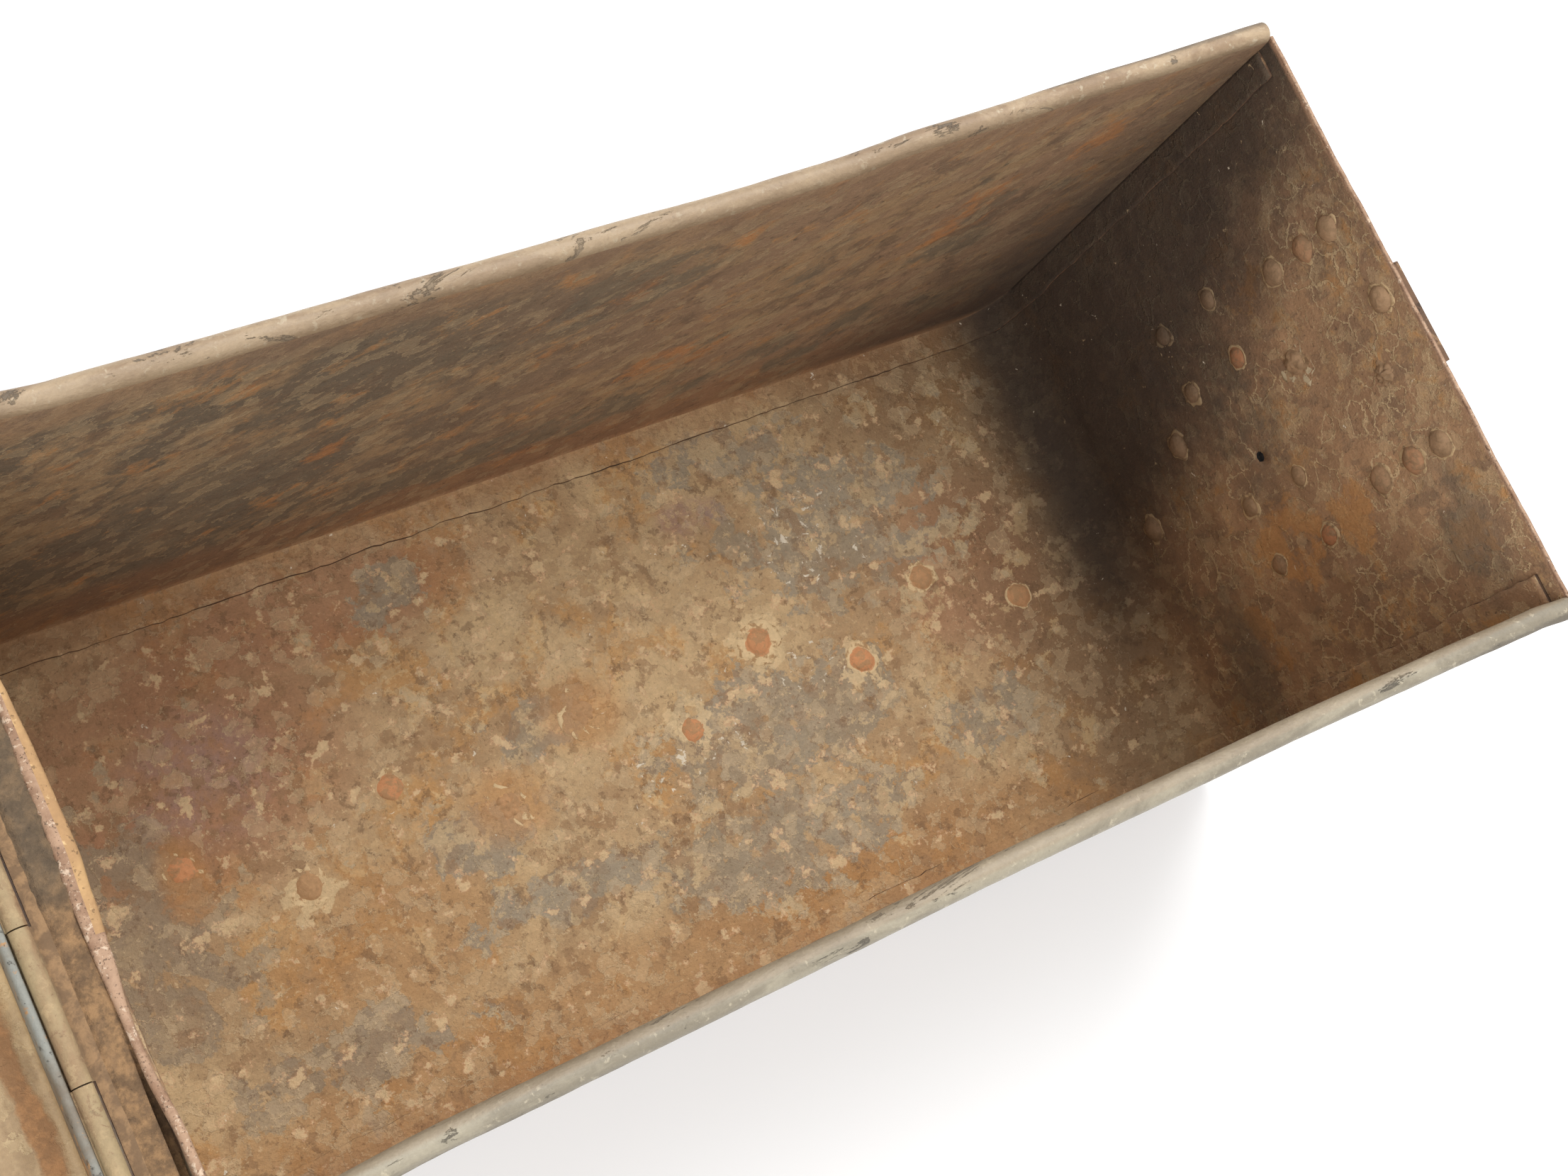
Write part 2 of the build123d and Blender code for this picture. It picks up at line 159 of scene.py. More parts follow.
class Shader:
    """A short-hand builder for one procedural material."""

    def __init__(self, name):
        self.mat = bpy.data.materials.new(name)
        self.mat.use_nodes = True
        self.tree = self.mat.node_tree
        self.tree.nodes.clear()
        self.pos = self.node("TexCoord").outputs["Object"]
        self.x, self.y, self.z = self.node("SeparateXYZ", {0: self.pos}).outputs

    def node(self, kind, inputs=None, **settings):
        """A new node with its settings, and its inputs linked or set."""
        node = self.tree.nodes.new("ShaderNode" + kind)
        for name, value in settings.items():
            setattr(node, name, value)
        for key, value in (inputs or {}).items():
            if isinstance(value, bpy.types.NodeSocket):
                self.tree.links.new(value, node.inputs[key])
            else:
                node.inputs[key].default_value = value
        return node

    def math(self, kind, a, b=0.0):
        return self.node("Math", {0: a, 1: b}, operation=kind).outputs[0]

    def times(self, a, b):
        return self.math("MULTIPLY", a, b)

    def plus(self, a, b):
        return self.math("ADD", a, b)

    def minus(self, a, b):
        return self.math("SUBTRACT", a, b)

    def total(self, *terms):
        """A sum of (socket, weight) terms."""
        out = None
        for socket, weight in terms:
            term = self.times(socket, weight)
            out = term if out is None else self.plus(out, term)
        return out

    def value(self, low, high, fac):
        """Low to high as fac goes from 0 to 1."""
        return self.plus(low, self.times(fac, high - low))

    def stretched(self, scale=(1, 1, 1), at=(0, 0, 0)):
        """Coordinates moved so that `at` is the origin, and scaled."""
        shift = self.node("VectorMath", {0: self.pos, 1: at}, operation="SUBTRACT")
        return self.node("VectorMath", {0: shift.outputs[0], 1: scale}, operation="MULTIPLY").outputs[0]

    def slanted(self, turn, scale):
        """Coordinates turned about Y and divided by scale, for streaks that run at a slant."""
        inputs = {"Vector": self.pos, "Rotation": (0, turn, 0), "Scale": scale}
        return self.node("Mapping", inputs, vector_type="TEXTURE").outputs[0]

    def noise(self, size, detail=5.0, rough=0.6, twist=0.0, vector=None):
        """Noise about 0.5 with features of about this size in metres."""
        inputs = {"Vector": vector or self.pos, "Scale": 1 / size, "Detail": detail}
        inputs.update({"Roughness": rough, "Distortion": twist})
        return self.node("TexNoise", inputs).outputs[0]

    def chips(self, size, wobble=0.7, vector=None):
        """Ragged chips of about this size: a random value for each, and the distance to its edge."""
        vector = vector or self.pos
        warp = self.node("TexNoise", {"Vector": vector, "Scale": 1.1 / size, "Detail": 4.0, "Roughness": 0.7})
        inputs = {0: warp.outputs["Color"], 1: (size * wobble * 2,) * 3, 2: vector}
        moved = self.node("VectorMath", inputs, operation="MULTIPLY_ADD").outputs[0]
        inputs = {"Vector": moved, "Scale": 1 / size}
        chip = self.node("TexVoronoi", inputs, feature="F1")
        edge = self.node("TexVoronoi", inputs, feature="DISTANCE_TO_EDGE")
        tone = self.node("SeparateColor", {0: chip.outputs["Color"]})
        return tone.outputs[0], edge.outputs["Distance"]

    def window(self, value, low, high):
        """0 below low, 1 above high, smooth between."""
        inputs = {"Value": value, "From Min": low, "From Max": high}
        return self.node("MapRange", inputs, interpolation_type="SMOOTHSTEP").outputs[0]

    def zones(self, places, soft=0.9):
        """A soft 0 to 1 field, high inside any of the blobs (centre, radii)."""
        reach = 1.3
        edge = reach - 1.0
        total = None
        for at, radii in places:
            vector = self.stretched([1 / r for r in radii], at)
            length = self.node("VectorMath", {0: vector}, operation="LENGTH").outputs["Value"]
            mask = self.minus(reach, length)
            total = mask if total is None else self.math("MAXIMUM", total, mask)
        return self.window(total, edge - soft / 2, edge + soft / 2)

    def patches(self, field, bias, low, fade=0.03):
        """Ragged patches where a noise field, raised by a zone field, passes low."""
        return self.window(self.plus(field, bias), low, low + fade)

    def mix(self, amount, a, b):
        """Colour a where amount is 0, b where it is 1; each is a socket or 0-255 screen values."""
        a, b = (srgb(*c) if isinstance(c, tuple) else c for c in (a, b))
        return self.node("Mix", {0: amount, 6: a, 7: b}, data_type="RGBA").outputs[2]

    def lay(self, base, mask, paint, amount):
        """Paint over a base colour where mask is 1, by this amount."""
        return self.mix(self.times(mask, amount), base, paint)

    def ramp(self, field, low, high, a, b):
        """Colour a where the field is below low, b where it is above high."""
        return self.mix(self.window(field, low, high), a, b)

    def stain(self, base, *stains):
        """A base colour under stains, each (field, low, high, colour, amount)."""
        for field, low, high, paint, amount in stains:
            base = self.lay(base, self.window(field, low, high), paint, amount)
        return base

    def shade(self, amount, colour):
        """Multiply a colour by a grey value."""
        grey = self.node("CombineColor", {0: amount, 1: amount, 2: amount}).outputs[0]
        inputs = {0: 1.0, 6: colour, 7: grey}
        return self.node("Mix", inputs, data_type="RGBA", blend_type="MULTIPLY").outputs[2]

    def attribute(self, name):
        return self.node("Attribute", attribute_name=name).outputs["Fac"]

    def finish(self, colour, roughness, height, depth=0.0006):
        bump = self.node("Bump", {"Strength": 1.0, "Distance": depth, "Height": height})
        inputs = {"Base Color": colour, "Roughness": roughness, "Metallic": 0.0}
        inputs.update({"Specular IOR Level": 0.5, "Normal": bump.outputs[0]})
        bsdf = self.node("BsdfPrincipled", inputs)
        self.node("OutputMaterial", {"Surface": bsdf.outputs[0]})
        return self.mat


BIG = 400.0  # a blob's radius along the axis that its surface doesn't span


def on_floor(*blobs):
    """Blobs on the floor, each (x, y, radius x, radius y) in mm from its middle."""
    return [((x * MM, y * MM, FLOOR_Z), (rx * MM, ry * MM, BIG * MM)) for x, y, rx, ry in blobs]


def on_end(*blobs):
    """Blobs on the latch end wall, each (y, drop from the rim, radius y, radius z) in mm."""
    return [((HALF_L, y * MM, RIM_Z - drop * MM), (BIG * MM, ry * MM, rz * MM)) for y, drop, ry, rz in blobs]


def on_side(*blobs):
    """Blobs on the long sides, each (x, drop from the rim, radius x, radius z) in mm."""
    return [((x * MM, HALF_W, RIM_Z - drop * MM), (rx * MM, BIG * MM, rz * MM)) for x, drop, rx, rz in blobs]


# screen colours of the rust, floor first, and a near-black brown for painted shade in the far-right corner
FLOOR_TAN = (202, 172, 130)
FLOOR_BROWN = (178, 146, 108)
FLOOR_OCHRE = (196, 148, 92)
FLOOR_PALE = (214, 184, 138)
FLOOR_DARK = (152, 118, 84)
FLOOR_RED = (166, 114, 84)
SLATE = (156, 143, 122)
SLATE_WARM = (152, 135, 110)
SLATE_PALE = (170, 152, 126)
FLOOR_SALMON = (204, 158, 122)
PINK = (166, 132, 118)
SEAM = (158, 116, 80)
FLAKE = (214, 186, 146)
FLAKE_RIM = (116, 88, 62)
CHALK = (232, 220, 198)
WALL_BROWN = (184, 146, 110)
WALL_DEEP = (162, 127, 96)
WALL_TAN = (196, 160, 116)
WALL_DARK = (138, 112, 88)
# near-black brown, painted shade for the far, low inside corner
CORNER_SHADE = (50, 42, 37)
WALL_OCHRE = (202, 146, 88)
WALL_PALE = (214, 186, 144)
SIDE_OLIVE = (112, 98, 80)
SIDE_BROWN = (152, 122, 94)
SIDE_TAN = (164, 134, 98)
SIDE_OCHRE = (174, 136, 92)
SIDE_DARK = (116, 94, 74)
SIDE_RED = (152, 110, 78)
SIDE_ORANGE = (186, 124, 70)
SIDE_SLATE = (108, 100, 86)
SIDE_UPPER = (146, 116, 90)
SIDE_PALE = (180, 156, 120)


def grained(sh, colour, strength):
    """Fine sandy grain over any colour, with a few darker pits."""
    fine = sh.noise(0.0012, 4, 0.7)
    broad = sh.noise(0.006, 5, 0.65)
    grey = sh.total((fine, strength * 1.7), (broad, strength * 1.2))
    pits = sh.times(sh.window(sh.noise(0.0020, 3, 0.6), 0.64, 0.72), -strength * 0.7)
    return sh.shade(sh.plus(sh.plus(grey, pits), 1.0 - strength * 1.40), colour), fine


def chipped(sh, colour, pale, dark, chips, amount):
    """Chips of rust scale, paler or darker, some with a thin pale edge: colour and height."""
    tone, edge = chips
    light = sh.window(tone, 0.76, 0.80)
    deep = sh.window(tone, 0.22, 0.18)
    colour = sh.lay(colour, light, pale, amount)
    colour = sh.lay(colour, deep, dark, amount * 0.8)
    line = sh.times(sh.window(edge, 0.08, 0.03), sh.window(tone, 0.60, 0.70))
    colour = sh.lay(colour, line, pale, amount * 1.3)
    return colour, sh.total((light, 0.5), (deep, -0.4), (line, 0.5))


def inside_wrap():
    """Floor and both end walls, inside."""
    sh = Shader("wrap_inside_rust")
    floor = sh.window(sh.z, FLOOR_Z + 26 * MM, FLOOR_Z + 5 * MM)
    broad = sh.noise(0.070, 4, 0.60, 0.3)
    drift = sh.noise(0.032, 7, 0.66)
    patch = sh.noise(0.016, 7, 0.70, 0.2)
    crisp = sh.noise(0.007, 5, 0.70)

    # floor
    colour = sh.ramp(broad, 0.42, 0.60, FLOOR_TAN, FLOOR_BROWN)
    colour = sh.stain(colour, (drift, 0.50, 0.58, FLOOR_OCHRE, 0.7))
    outer_ochre = sh.zones(on_floor((-60, -92, 160, 22), (90, -88, 90, 16), (-105, -40, 40, 30)))
    colour = sh.lay(colour, outer_ochre, (170, 122, 74), 0.6)
    red = sh.zones(on_floor((-158, 45, 64, 48), (-95, 80, 70, 20), (165, 10, 34, 40)))
    colour = sh.lay(colour, red, FLOOR_RED, 0.65)
    # browner rust over the right end of the floor, deepened by painted shade into the cove and the far-right
    # corner
    end_brown_and_shade = sh.zones(on_floor((205, 0, 42, 120), (190, 90, 60, 40)))
    colour = sh.lay(colour, end_brown_and_shade, (134, 104, 76), 0.6)
    slate_places = on_floor(
        (116, 46, 54, 36), (92, 84, 40, 12), (66, -22, 50, 24), (40, -62, 54, 18), (-26, 11, 22, 11),
        (-60, 78, 14, 14), (-182, -6, 22, 50), (-138, -69, 44, 13), (-60, -20, 26, 14), (-40, -48, 44, 12),
        (150, -50, 24, 14),
    )
    slate_zone = sh.zones(slate_places, 1.3)
    chips = sh.chips(0.0052)
    slate_field = sh.total((drift, 0.40), (patch, 0.50), (chips[0], 0.10))
    slate = sh.patches(slate_field, sh.times(slate_zone, 0.20), 0.60, 0.035)
    slate_tone = sh.ramp(broad, 0.42, 0.58, SLATE, SLATE_WARM)
    slate_tone = sh.ramp(crisp, 0.48, 0.60, slate_tone, SLATE_PALE)
    far_left = sh.window(sh.x, -0.05, -0.15)
    slate_tone = sh.lay(slate_tone, far_left, (150, 126, 98), 0.6)
    colour = sh.lay(colour, slate, slate_tone, 0.88)
    pink = sh.zones(on_floor((-146, 38, 24, 22), (64, 66, 14, 8)))
    pink = sh.times(pink, sh.window(patch, 0.38, 0.56))
    colour = sh.lay(colour, pink, PINK, 0.8)
    second = sh.noise(0.013, 6, 0.66, 0.0, sh.stretched(at=(0.7, 0.2, 0.4)))
    third = sh.noise(0.009, 6, 0.64, 0.0, sh.stretched(at=(0.1, 0.9, 0.3)))
    calm = sh.value(0.6, 0.20, far_left)
    colour = sh.stain(
        colour,
        (patch, 0.56, 0.585, FLOOR_PALE, calm),
        (second, 0.575, 0.60, FLOOR_DARK, 0.6),
        (third, 0.59, 0.61, FLOOR_SALMON, 0.7),
        (crisp, 0.57, 0.62, FLAKE_RIM, 0.5),
    )
    colour, plates = chipped(sh, colour, FLAKE, FLOOR_DARK, chips, 0.30)
    scurf = sh.noise(0.0026, 5, 0.72, 0.2)
    colour = sh.stain(colour, (scurf, 0.60, 0.66, FLAKE, 0.6), (scurf, 0.40, 0.33, FLAKE_RIM, 0.6))
    crust_places = on_floor(
        (67.3, 10.7, 12, 12), (104.6, -12.7, 9, 9), (27.4, -8.7, 9, 9), (-127, -12.7, 10, 9),
    )
    crust = sh.patches(third, sh.times(sh.zones(crust_places), 0.18), 0.60, 0.04)
    colour = sh.lay(colour, crust, (218, 190, 146), 0.8)
    lumps = sh.zones(on_floor((-9.9, 10.7, 15, 13), (-49.8, -10.7, 16, 13), (-164.3, 8, 8, 14)))
    colour = sh.lay(colour, lumps, (190, 138, 84), 0.6)
    seam = sh.window(sh.total((sh.math("ABSOLUTE", sh.y), 1.0), (patch, 0.03)), 0.103, 0.121)
    colour = sh.lay(colour, seam, SEAM, 0.5)

    # end walls
    down = sh.stretched((1.0, 1.0, 0.45))
    run = sh.noise(0.010, 6, 0.70, 0.0, down)
    wall = sh.ramp(broad, 0.40, 0.58, WALL_BROWN, WALL_DEEP)
    wall = sh.stain(wall, (patch, 0.52, 0.58, WALL_TAN, 0.6), (run, 0.53, 0.60, WALL_DARK, 0.6))
    wall, wall_plates = chipped(sh, wall, WALL_PALE, WALL_DARK, chips, 0.30)
    wall = sh.stain(wall, (scurf, 0.60, 0.65, WALL_PALE, 0.6), (scurf, 0.40, 0.33, (84, 68, 54), 0.6))
    tone, edge = sh.chips(0.0095, 0.5)
    rings = sh.times(sh.window(edge, 0.07, 0.03), sh.window(tone, 0.66, 0.72))
    wall = sh.lay(wall, rings, WALL_PALE, 0.8)
    ochre_places = on_end(
        (52, 73, 15, 13), (-46, 75, 12, 12), (-76, 25, 10, 8), (-73, 151, 16, 8), (-46, 110, 18, 20),
    )
    ochre = sh.patches(patch, sh.times(sh.zones(ochre_places), 0.14), 0.56, 0.10)
    wall = sh.lay(wall, ochre, WALL_OCHRE, 0.62)
    dark_places = on_end((4, 104, 26, 26), (-66, 172, 40, 22), (-70, 30, 26, 16))
    dusk = sh.times(sh.zones(dark_places, 1.2), sh.window(drift, 0.36, 0.56))
    wall = sh.lay(wall, dusk, SIDE_SLATE, 0.58)
    # painted shade: the latch end wall darkens towards its far, low corner, and the floor towards the
    # far-right corner, as the shade there
    latch_side = sh.window(sh.x, 0.0, 0.15)
    slope = sh.total((sh.y, 1.0), (sh.z, -0.52), (drift, 0.055), (crisp, 0.018))
    corner_shade = sh.times(latch_side, sh.window(slope, -0.049, 0.031))
    colour = sh.mix(floor, wall, colour)
    low_corner = sh.window(sh.total((sh.x, 1.0), (sh.y, 0.42), (drift, 0.05)), 0.234, 0.316)
    corner_shade = sh.math("MAXIMUM", sh.times(corner_shade, sh.window(sh.x, 0.19, 0.225)), sh.times(low_corner, 0.6))
    colour = sh.lay(colour, corner_shade, CORNER_SHADE, 0.90)
    specks_wall = sh.times(sh.window(sh.noise(0.0030, 5, 0.62, 0.5), 0.68, 0.71), 0.45)
    colour = sh.lay(colour, specks_wall, WALL_PALE, sh.minus(1.0, floor))
    white_zone = sh.zones(on_floor((24, -24, 34, 14), (104, 42, 26, 20), (82, -6, 20, 10)))
    specks = sh.patches(sh.noise(0.0042, 6, 0.62, 0.5), sh.times(white_zone, 0.08), 0.69, 0.02)
    colour = sh.lay(colour, specks, CHALK, 0.85)
    top = sh.window(sh.z, END_TOP - 3.2 * MM, END_TOP - 1.6 * MM)
    colour = sh.lay(colour, top, (172, 134, 106), 0.75)
    colour, fine = grained(sh, colour, 0.34)
    gloss = sh.value(0.88, 0.66, sh.times(slate, floor))
    scale = sh.mix(floor, sh.plus(wall_plates, rings), plates)
    height = sh.total((patch, 0.8), (crisp, 0.6), (fine, 0.45), (scurf, 0.5), (scale, 0.30), (slate, -0.15))
    return sh.finish(colour, gloss, height, 0.0009)


def inside_side(name, seed):
    """The inner faces of the long sides."""
    sh = Shader(name)
    lean = sh.slanted(-0.75, (1.5, 1.0, 1.0))
    shifted = sh.stretched(at=seed)
    broad = sh.noise(0.070, 4, 0.6, 0.3, shifted)
    slant = sh.noise(0.030, 7, 0.66, 0.2, lean)
    patch = sh.noise(0.012, 9, 0.72, 0.1, lean)
    crisp = sh.noise(0.007, 8, 0.70, 0.1, shifted)
    rightward = sh.window(sh.plus(sh.x, sh.times(broad, 0.12)), -0.06, 0.14)
    colour = sh.mix(rightward, SIDE_OLIVE, SIDE_BROWN)
    colour = sh.stain(colour, (slant, 0.47, 0.58, SIDE_TAN, 0.75), (patch, 0.54, 0.60, SIDE_OCHRE, 0.5))
    second = sh.noise(0.020, 9, 0.68, 0.1, sh.stretched(at=(0.3, 0.1, 0.6)))
    colour = sh.stain(colour, (second, 0.53, 0.60, SIDE_DARK, 0.65))
    band_line = sh.plus(sh.z, sh.times(slant, 0.05))
    low_band = sh.window(band_line, FLOOR_Z + 66 * MM, FLOOR_Z + 46 * MM)
    colour = sh.lay(colour, low_band, SIDE_RED, 0.55)
    orange_places = on_side(
        (146, 82, 14, 26), (48, 136, 30, 14), (180, 47, 13, 13), (-92, 118, 10, 7), (0, 50, 9, 9),
    )
    orange = sh.patches(patch, sh.times(sh.zones(orange_places), 0.15), 0.57, 0.12)
    colour = sh.lay(colour, orange, SIDE_ORANGE, 0.6)
    slate_places = on_side(
        (-130, 135, 44, 40), (-40, 50, 60, 26), (-20, 180, 70, 16), (170, 95, 36, 30), (110, 175, 60, 20),
    )
    slate = sh.patches(slant, sh.times(sh.zones(slate_places, 1.1), 0.14), 0.58, 0.09)
    colour = sh.lay(colour, slate, SIDE_SLATE, 0.7)
    colour, plates = chipped(sh, colour, SIDE_PALE, SIDE_DARK, sh.chips(0.0055, 0.7, lean), 0.30)
    scurf = sh.noise(0.0028, 5, 0.72, 0.2, lean)
    colour = sh.stain(colour, (scurf, 0.60, 0.66, SIDE_PALE, 0.55), (scurf, 0.40, 0.33, (78, 64, 50), 0.6))
    # painted shade: darker towards the low right-hand corner, as the shade there
    low_corner = sh.total((sh.x, 1.0), (sh.z, -0.42), (broad, 0.05))
    corner_shade = sh.window(low_corner, 0.110, 0.235)
    colour = sh.lay(colour, corner_shade, (58, 47, 40), 0.80)
    upper = sh.window(sh.z, RIM_Z - 24 * MM, RIM_Z - 10 * MM)
    colour = sh.lay(colour, upper, SIDE_UPPER, 0.5)
    foot = sh.window(sh.z, FLOOR_Z + 9 * MM, FLOOR_Z + 2 * MM)
    colour = sh.lay(colour, foot, SEAM, 0.5)
    colour, fine = grained(sh, colour, 0.34)
    height = sh.total((patch, 0.8), (crisp, 0.6), (fine, 0.45), (scurf, 0.5), (plates, 0.30), (slate, -0.15))
    return sh.finish(colour, sh.value(0.88, 0.72, slate), height, 0.0009)


def old_paint(name, paint, seed=(0, 0, 0)):
    """Remnants of thin, dirty old paint on brown rust, more rust low down."""
    sh = Shader(name)
    vector = sh.stretched(at=seed)
    drift = sh.noise(0.070, 6, 0.62, 0.2, vector)
    patch = sh.noise(0.020, 10, 0.74, 0.1, vector)
    crisp = sh.noise(0.006, 8, 0.72, 0.1, vector)
    thin = sh.ramp(drift, 0.40, 0.62, paint, tuple(c * 0.84 for c in paint))
    thin = sh.stain(thin, (crisp, 0.46, 0.60, (120, 98, 74), 0.6))
    rust = sh.ramp(patch, 0.42, 0.60, (118, 88, 64), (94, 72, 56))
    rust = sh.stain(
        rust,
        (crisp, 0.52, 0.60, (140, 104, 70), 0.6),
        (drift, 0.56, 0.66, (146, 100, 64), 0.5),
    )
    low = sh.times(sh.window(sh.z, 0.12, 0.0), 0.10)
    field = sh.plus(sh.total((drift, 0.40), (patch, 0.45), (crisp, 0.15)), low)
    worn = sh.window(field, 0.46, 0.51)
    colour = sh.mix(worn, thin, rust)
    colour, plates = chipped(sh, colour, (150, 126, 96), (84, 64, 50), sh.chips(0.006, 0.7, vector), 0.26)
    runs = sh.noise(0.012, 6, 0.6, 0.0, sh.stretched((1.0, 1.0, 0.12), seed))
    colour = sh.stain(colour, (runs, 0.56, 0.66, (112, 78, 52), 0.35))
    colour, fine = grained(sh, colour, 0.26)
    height = sh.total((patch, 0.5), (fine, 0.3), (worn, -0.25), (crisp, 0.4), (plates, 0.2))
    return sh.finish(colour, sh.value(0.66, 0.88, worn), height, 0.0008)


def rim_paint():
    """Cream-grey paint on the rolled rims, browner at the back, dark along the outer edge."""
    sh = Shader("rim_paint")
    vector = sh.stretched((0.35, 1.0, 1.0))
    drift = sh.noise(0.020, 7, 0.7, 0.6, vector)
    crisp = sh.noise(0.0035, 6, 0.65, 0.3)
    side = sh.math("ABSOLUTE", sh.y)
    back = sh.window(sh.y, -0.02, 0.02)
    light = sh.mix(back, (152, 143, 124), (166, 144, 116))
    dull = sh.mix(back, (130, 121, 104), (138, 115, 90))
    colour = sh.ramp(drift, 0.42, 0.58, light, dull)
    colour = sh.stain(colour, (crisp, 0.58, 0.66, (190, 178, 154), 0.5))
    wear = sh.noise(0.011, 8, 0.72, 0.6, vector)
    edge = sh.window(sh.plus(side, sh.times(wear, 0.006)), BEAD_Y + 3.4 * MM, BEAD_Y + 5.2 * MM)
    dark = sh.math("MAXIMUM", sh.window(wear, 0.60, 0.64), sh.times(edge, 0.8))
    colour = sh.lay(colour, dark, (92, 84, 74), 0.75)
    inner = sh.window(sh.plus(side, sh.times(drift, 0.0016)), HALF_W + 2.2 * MM, HALF_W + 0.8 * MM)
    colour = sh.lay(colour, inner, (142, 122, 97), 0.5)
    low = sh.window(sh.z, BEAD_Z - 0.2 * MM, BEAD_Z - 2.6 * MM)
    colour = sh.lay(colour, low, (122, 98, 76), 0.6)
    colour, fine = grained(sh, colour, 0.22)
    height = sh.total((drift, 0.8), (crisp, 0.35), (fine, 0.14), (dark, -0.3))
    return sh.finish(colour, sh.value(0.50, 0.8, dark), height, 0.0009)


def plain_rust(name, tone, deep, pale, size_m=0.012, depth=0.0007, seed=(0, 0, 0), gloss=0.85):
    """Rust for fittings and edges: one tone, darker pits and paler scale."""
    sh = Shader(name)
    vector = sh.stretched(at=seed)
    drift = sh.noise(size_m * 2.2, 6, 0.62, 0.3, vector)
    patch = sh.noise(size_m * 0.6, 8, 0.7, 0.4, vector)
    colour = sh.ramp(drift, 0.40, 0.62, tone, deep)
    colour = sh.ramp(patch, 0.56, 0.62, colour, pale)
    pit = sh.window(sh.noise(size_m * 0.2, 4, 0.6, 0, vector), 0.60, 0.68)
    colour = sh.lay(colour, pit, tuple(c * 0.55 for c in deep), 0.6)
    colour, fine = grained(sh, colour, 0.24)
    height = sh.total((patch, 0.8), (fine, 0.2), (pit, -0.4))
    return sh.finish(colour, gloss, height, depth)


def hinge_rust():
    """Greenish beige paint on the knuckles, brown dirt on the ledge and rust below it."""
    sh = Shader("hinge_rust")
    drift = sh.noise(0.020, 6, 0.62, 0.3, sh.stretched((1.0, 0.4, 1.0)))
    patch = sh.noise(0.005, 8, 0.7, 0.4)
    colour = sh.ramp(drift, 0.42, 0.60, (154, 134, 100), (140, 112, 82))
    colour = sh.stain(
        colour,
        (patch, 0.54, 0.60, (168, 144, 108), 0.6),
        (patch, 0.44, 0.38, (126, 98, 72), 0.7),
    )
    ledge = sh.window(sh.plus(sh.x, sh.times(patch, 0.002)), HINGE_X + 3.2 * MM, HINGE_X + 4.4 * MM)
    colour = sh.mix(ledge, colour, sh.ramp(patch, 0.42, 0.60, (112, 88, 64), (142, 112, 80)))
    below = sh.window(sh.z, RIM_Z - 6 * MM, RIM_Z - 10 * MM)
    colour = sh.mix(below, colour, sh.ramp(drift, 0.42, 0.60, (104, 76, 56), (74, 58, 46)))
    colour, fine = grained(sh, colour, 0.26)
    height = sh.total((patch, 0.8), (drift, 0.4), (fine, 0.25))
    return sh.finish(colour, sh.value(0.72, 0.9, ledge), height, 0.0005)


def inside_lid():
    """Streaked greenish beige paint inside the lid, with a rough rusty band along the hinge edge."""
    sh = Shader("lid_inside_paint")
    streak = sh.stretched((1.0, 0.7, 1.0))
    drift = sh.noise(0.060, 6, 0.62, 0.2, streak)
    patch = sh.noise(0.018, 9, 0.7, 0.1, streak)
    crisp = sh.noise(0.006, 7, 0.7, 0.1)
    colour = sh.ramp(drift, 0.40, 0.60, (198, 172, 130), (174, 148, 112))
    colour = sh.stain(
        colour,
        (patch, 0.50, 0.60, (140, 114, 82), 0.6),
        (patch, 0.44, 0.36, (190, 170, 132), 0.6),
    )
    colour, plates = chipped(sh, colour, (198, 174, 134), (122, 94, 68), sh.chips(0.006), 0.26)
    edge = sh.minus(LID_EDGE - 6.6 * MM, sh.x)
    wander = sh.times(sh.minus(sh.noise(0.035, 3, 0.5), 0.5), 0.010)
    off = sh.math("ABSOLUTE", sh.plus(edge, wander))
    ragged = sh.times(sh.minus(patch, 0.5), 0.012)
    band = sh.window(sh.plus(off, ragged), 4.0 * MM, 2.0 * MM)
    away = sh.window(sh.x, LID_EDGE - 25 * MM, LID_EDGE - 90 * MM)
    worn = sh.window(sh.total((drift, 0.4), (patch, 0.6)), 0.60, 0.66)
    rusty = sh.math("MAXIMUM", band, sh.times(worn, away))
    rust = sh.ramp(crisp, 0.42, 0.58, (172, 126, 84), (144, 106, 72))
    colour = sh.lay(colour, rusty, rust, 0.9)
    stained = sh.window(sh.total((drift, 0.5), (patch, 0.35), (crisp, 0.15)), 0.44, 0.54)
    old = sh.ramp(patch, 0.42, 0.60, (146, 114, 82), (116, 90, 68))
    colour = sh.lay(colour, away, old, sh.value(0.62, 0.95, stained))
    colour, fine = grained(sh, colour, 0.24)
    height = sh.total((patch, 0.5), (fine, 0.25), (crisp, 0.5), (rusty, 0.25), (plates, 0.2))
    return sh.finish(colour, sh.value(0.55, 0.9, rusty), height, 0.0008)


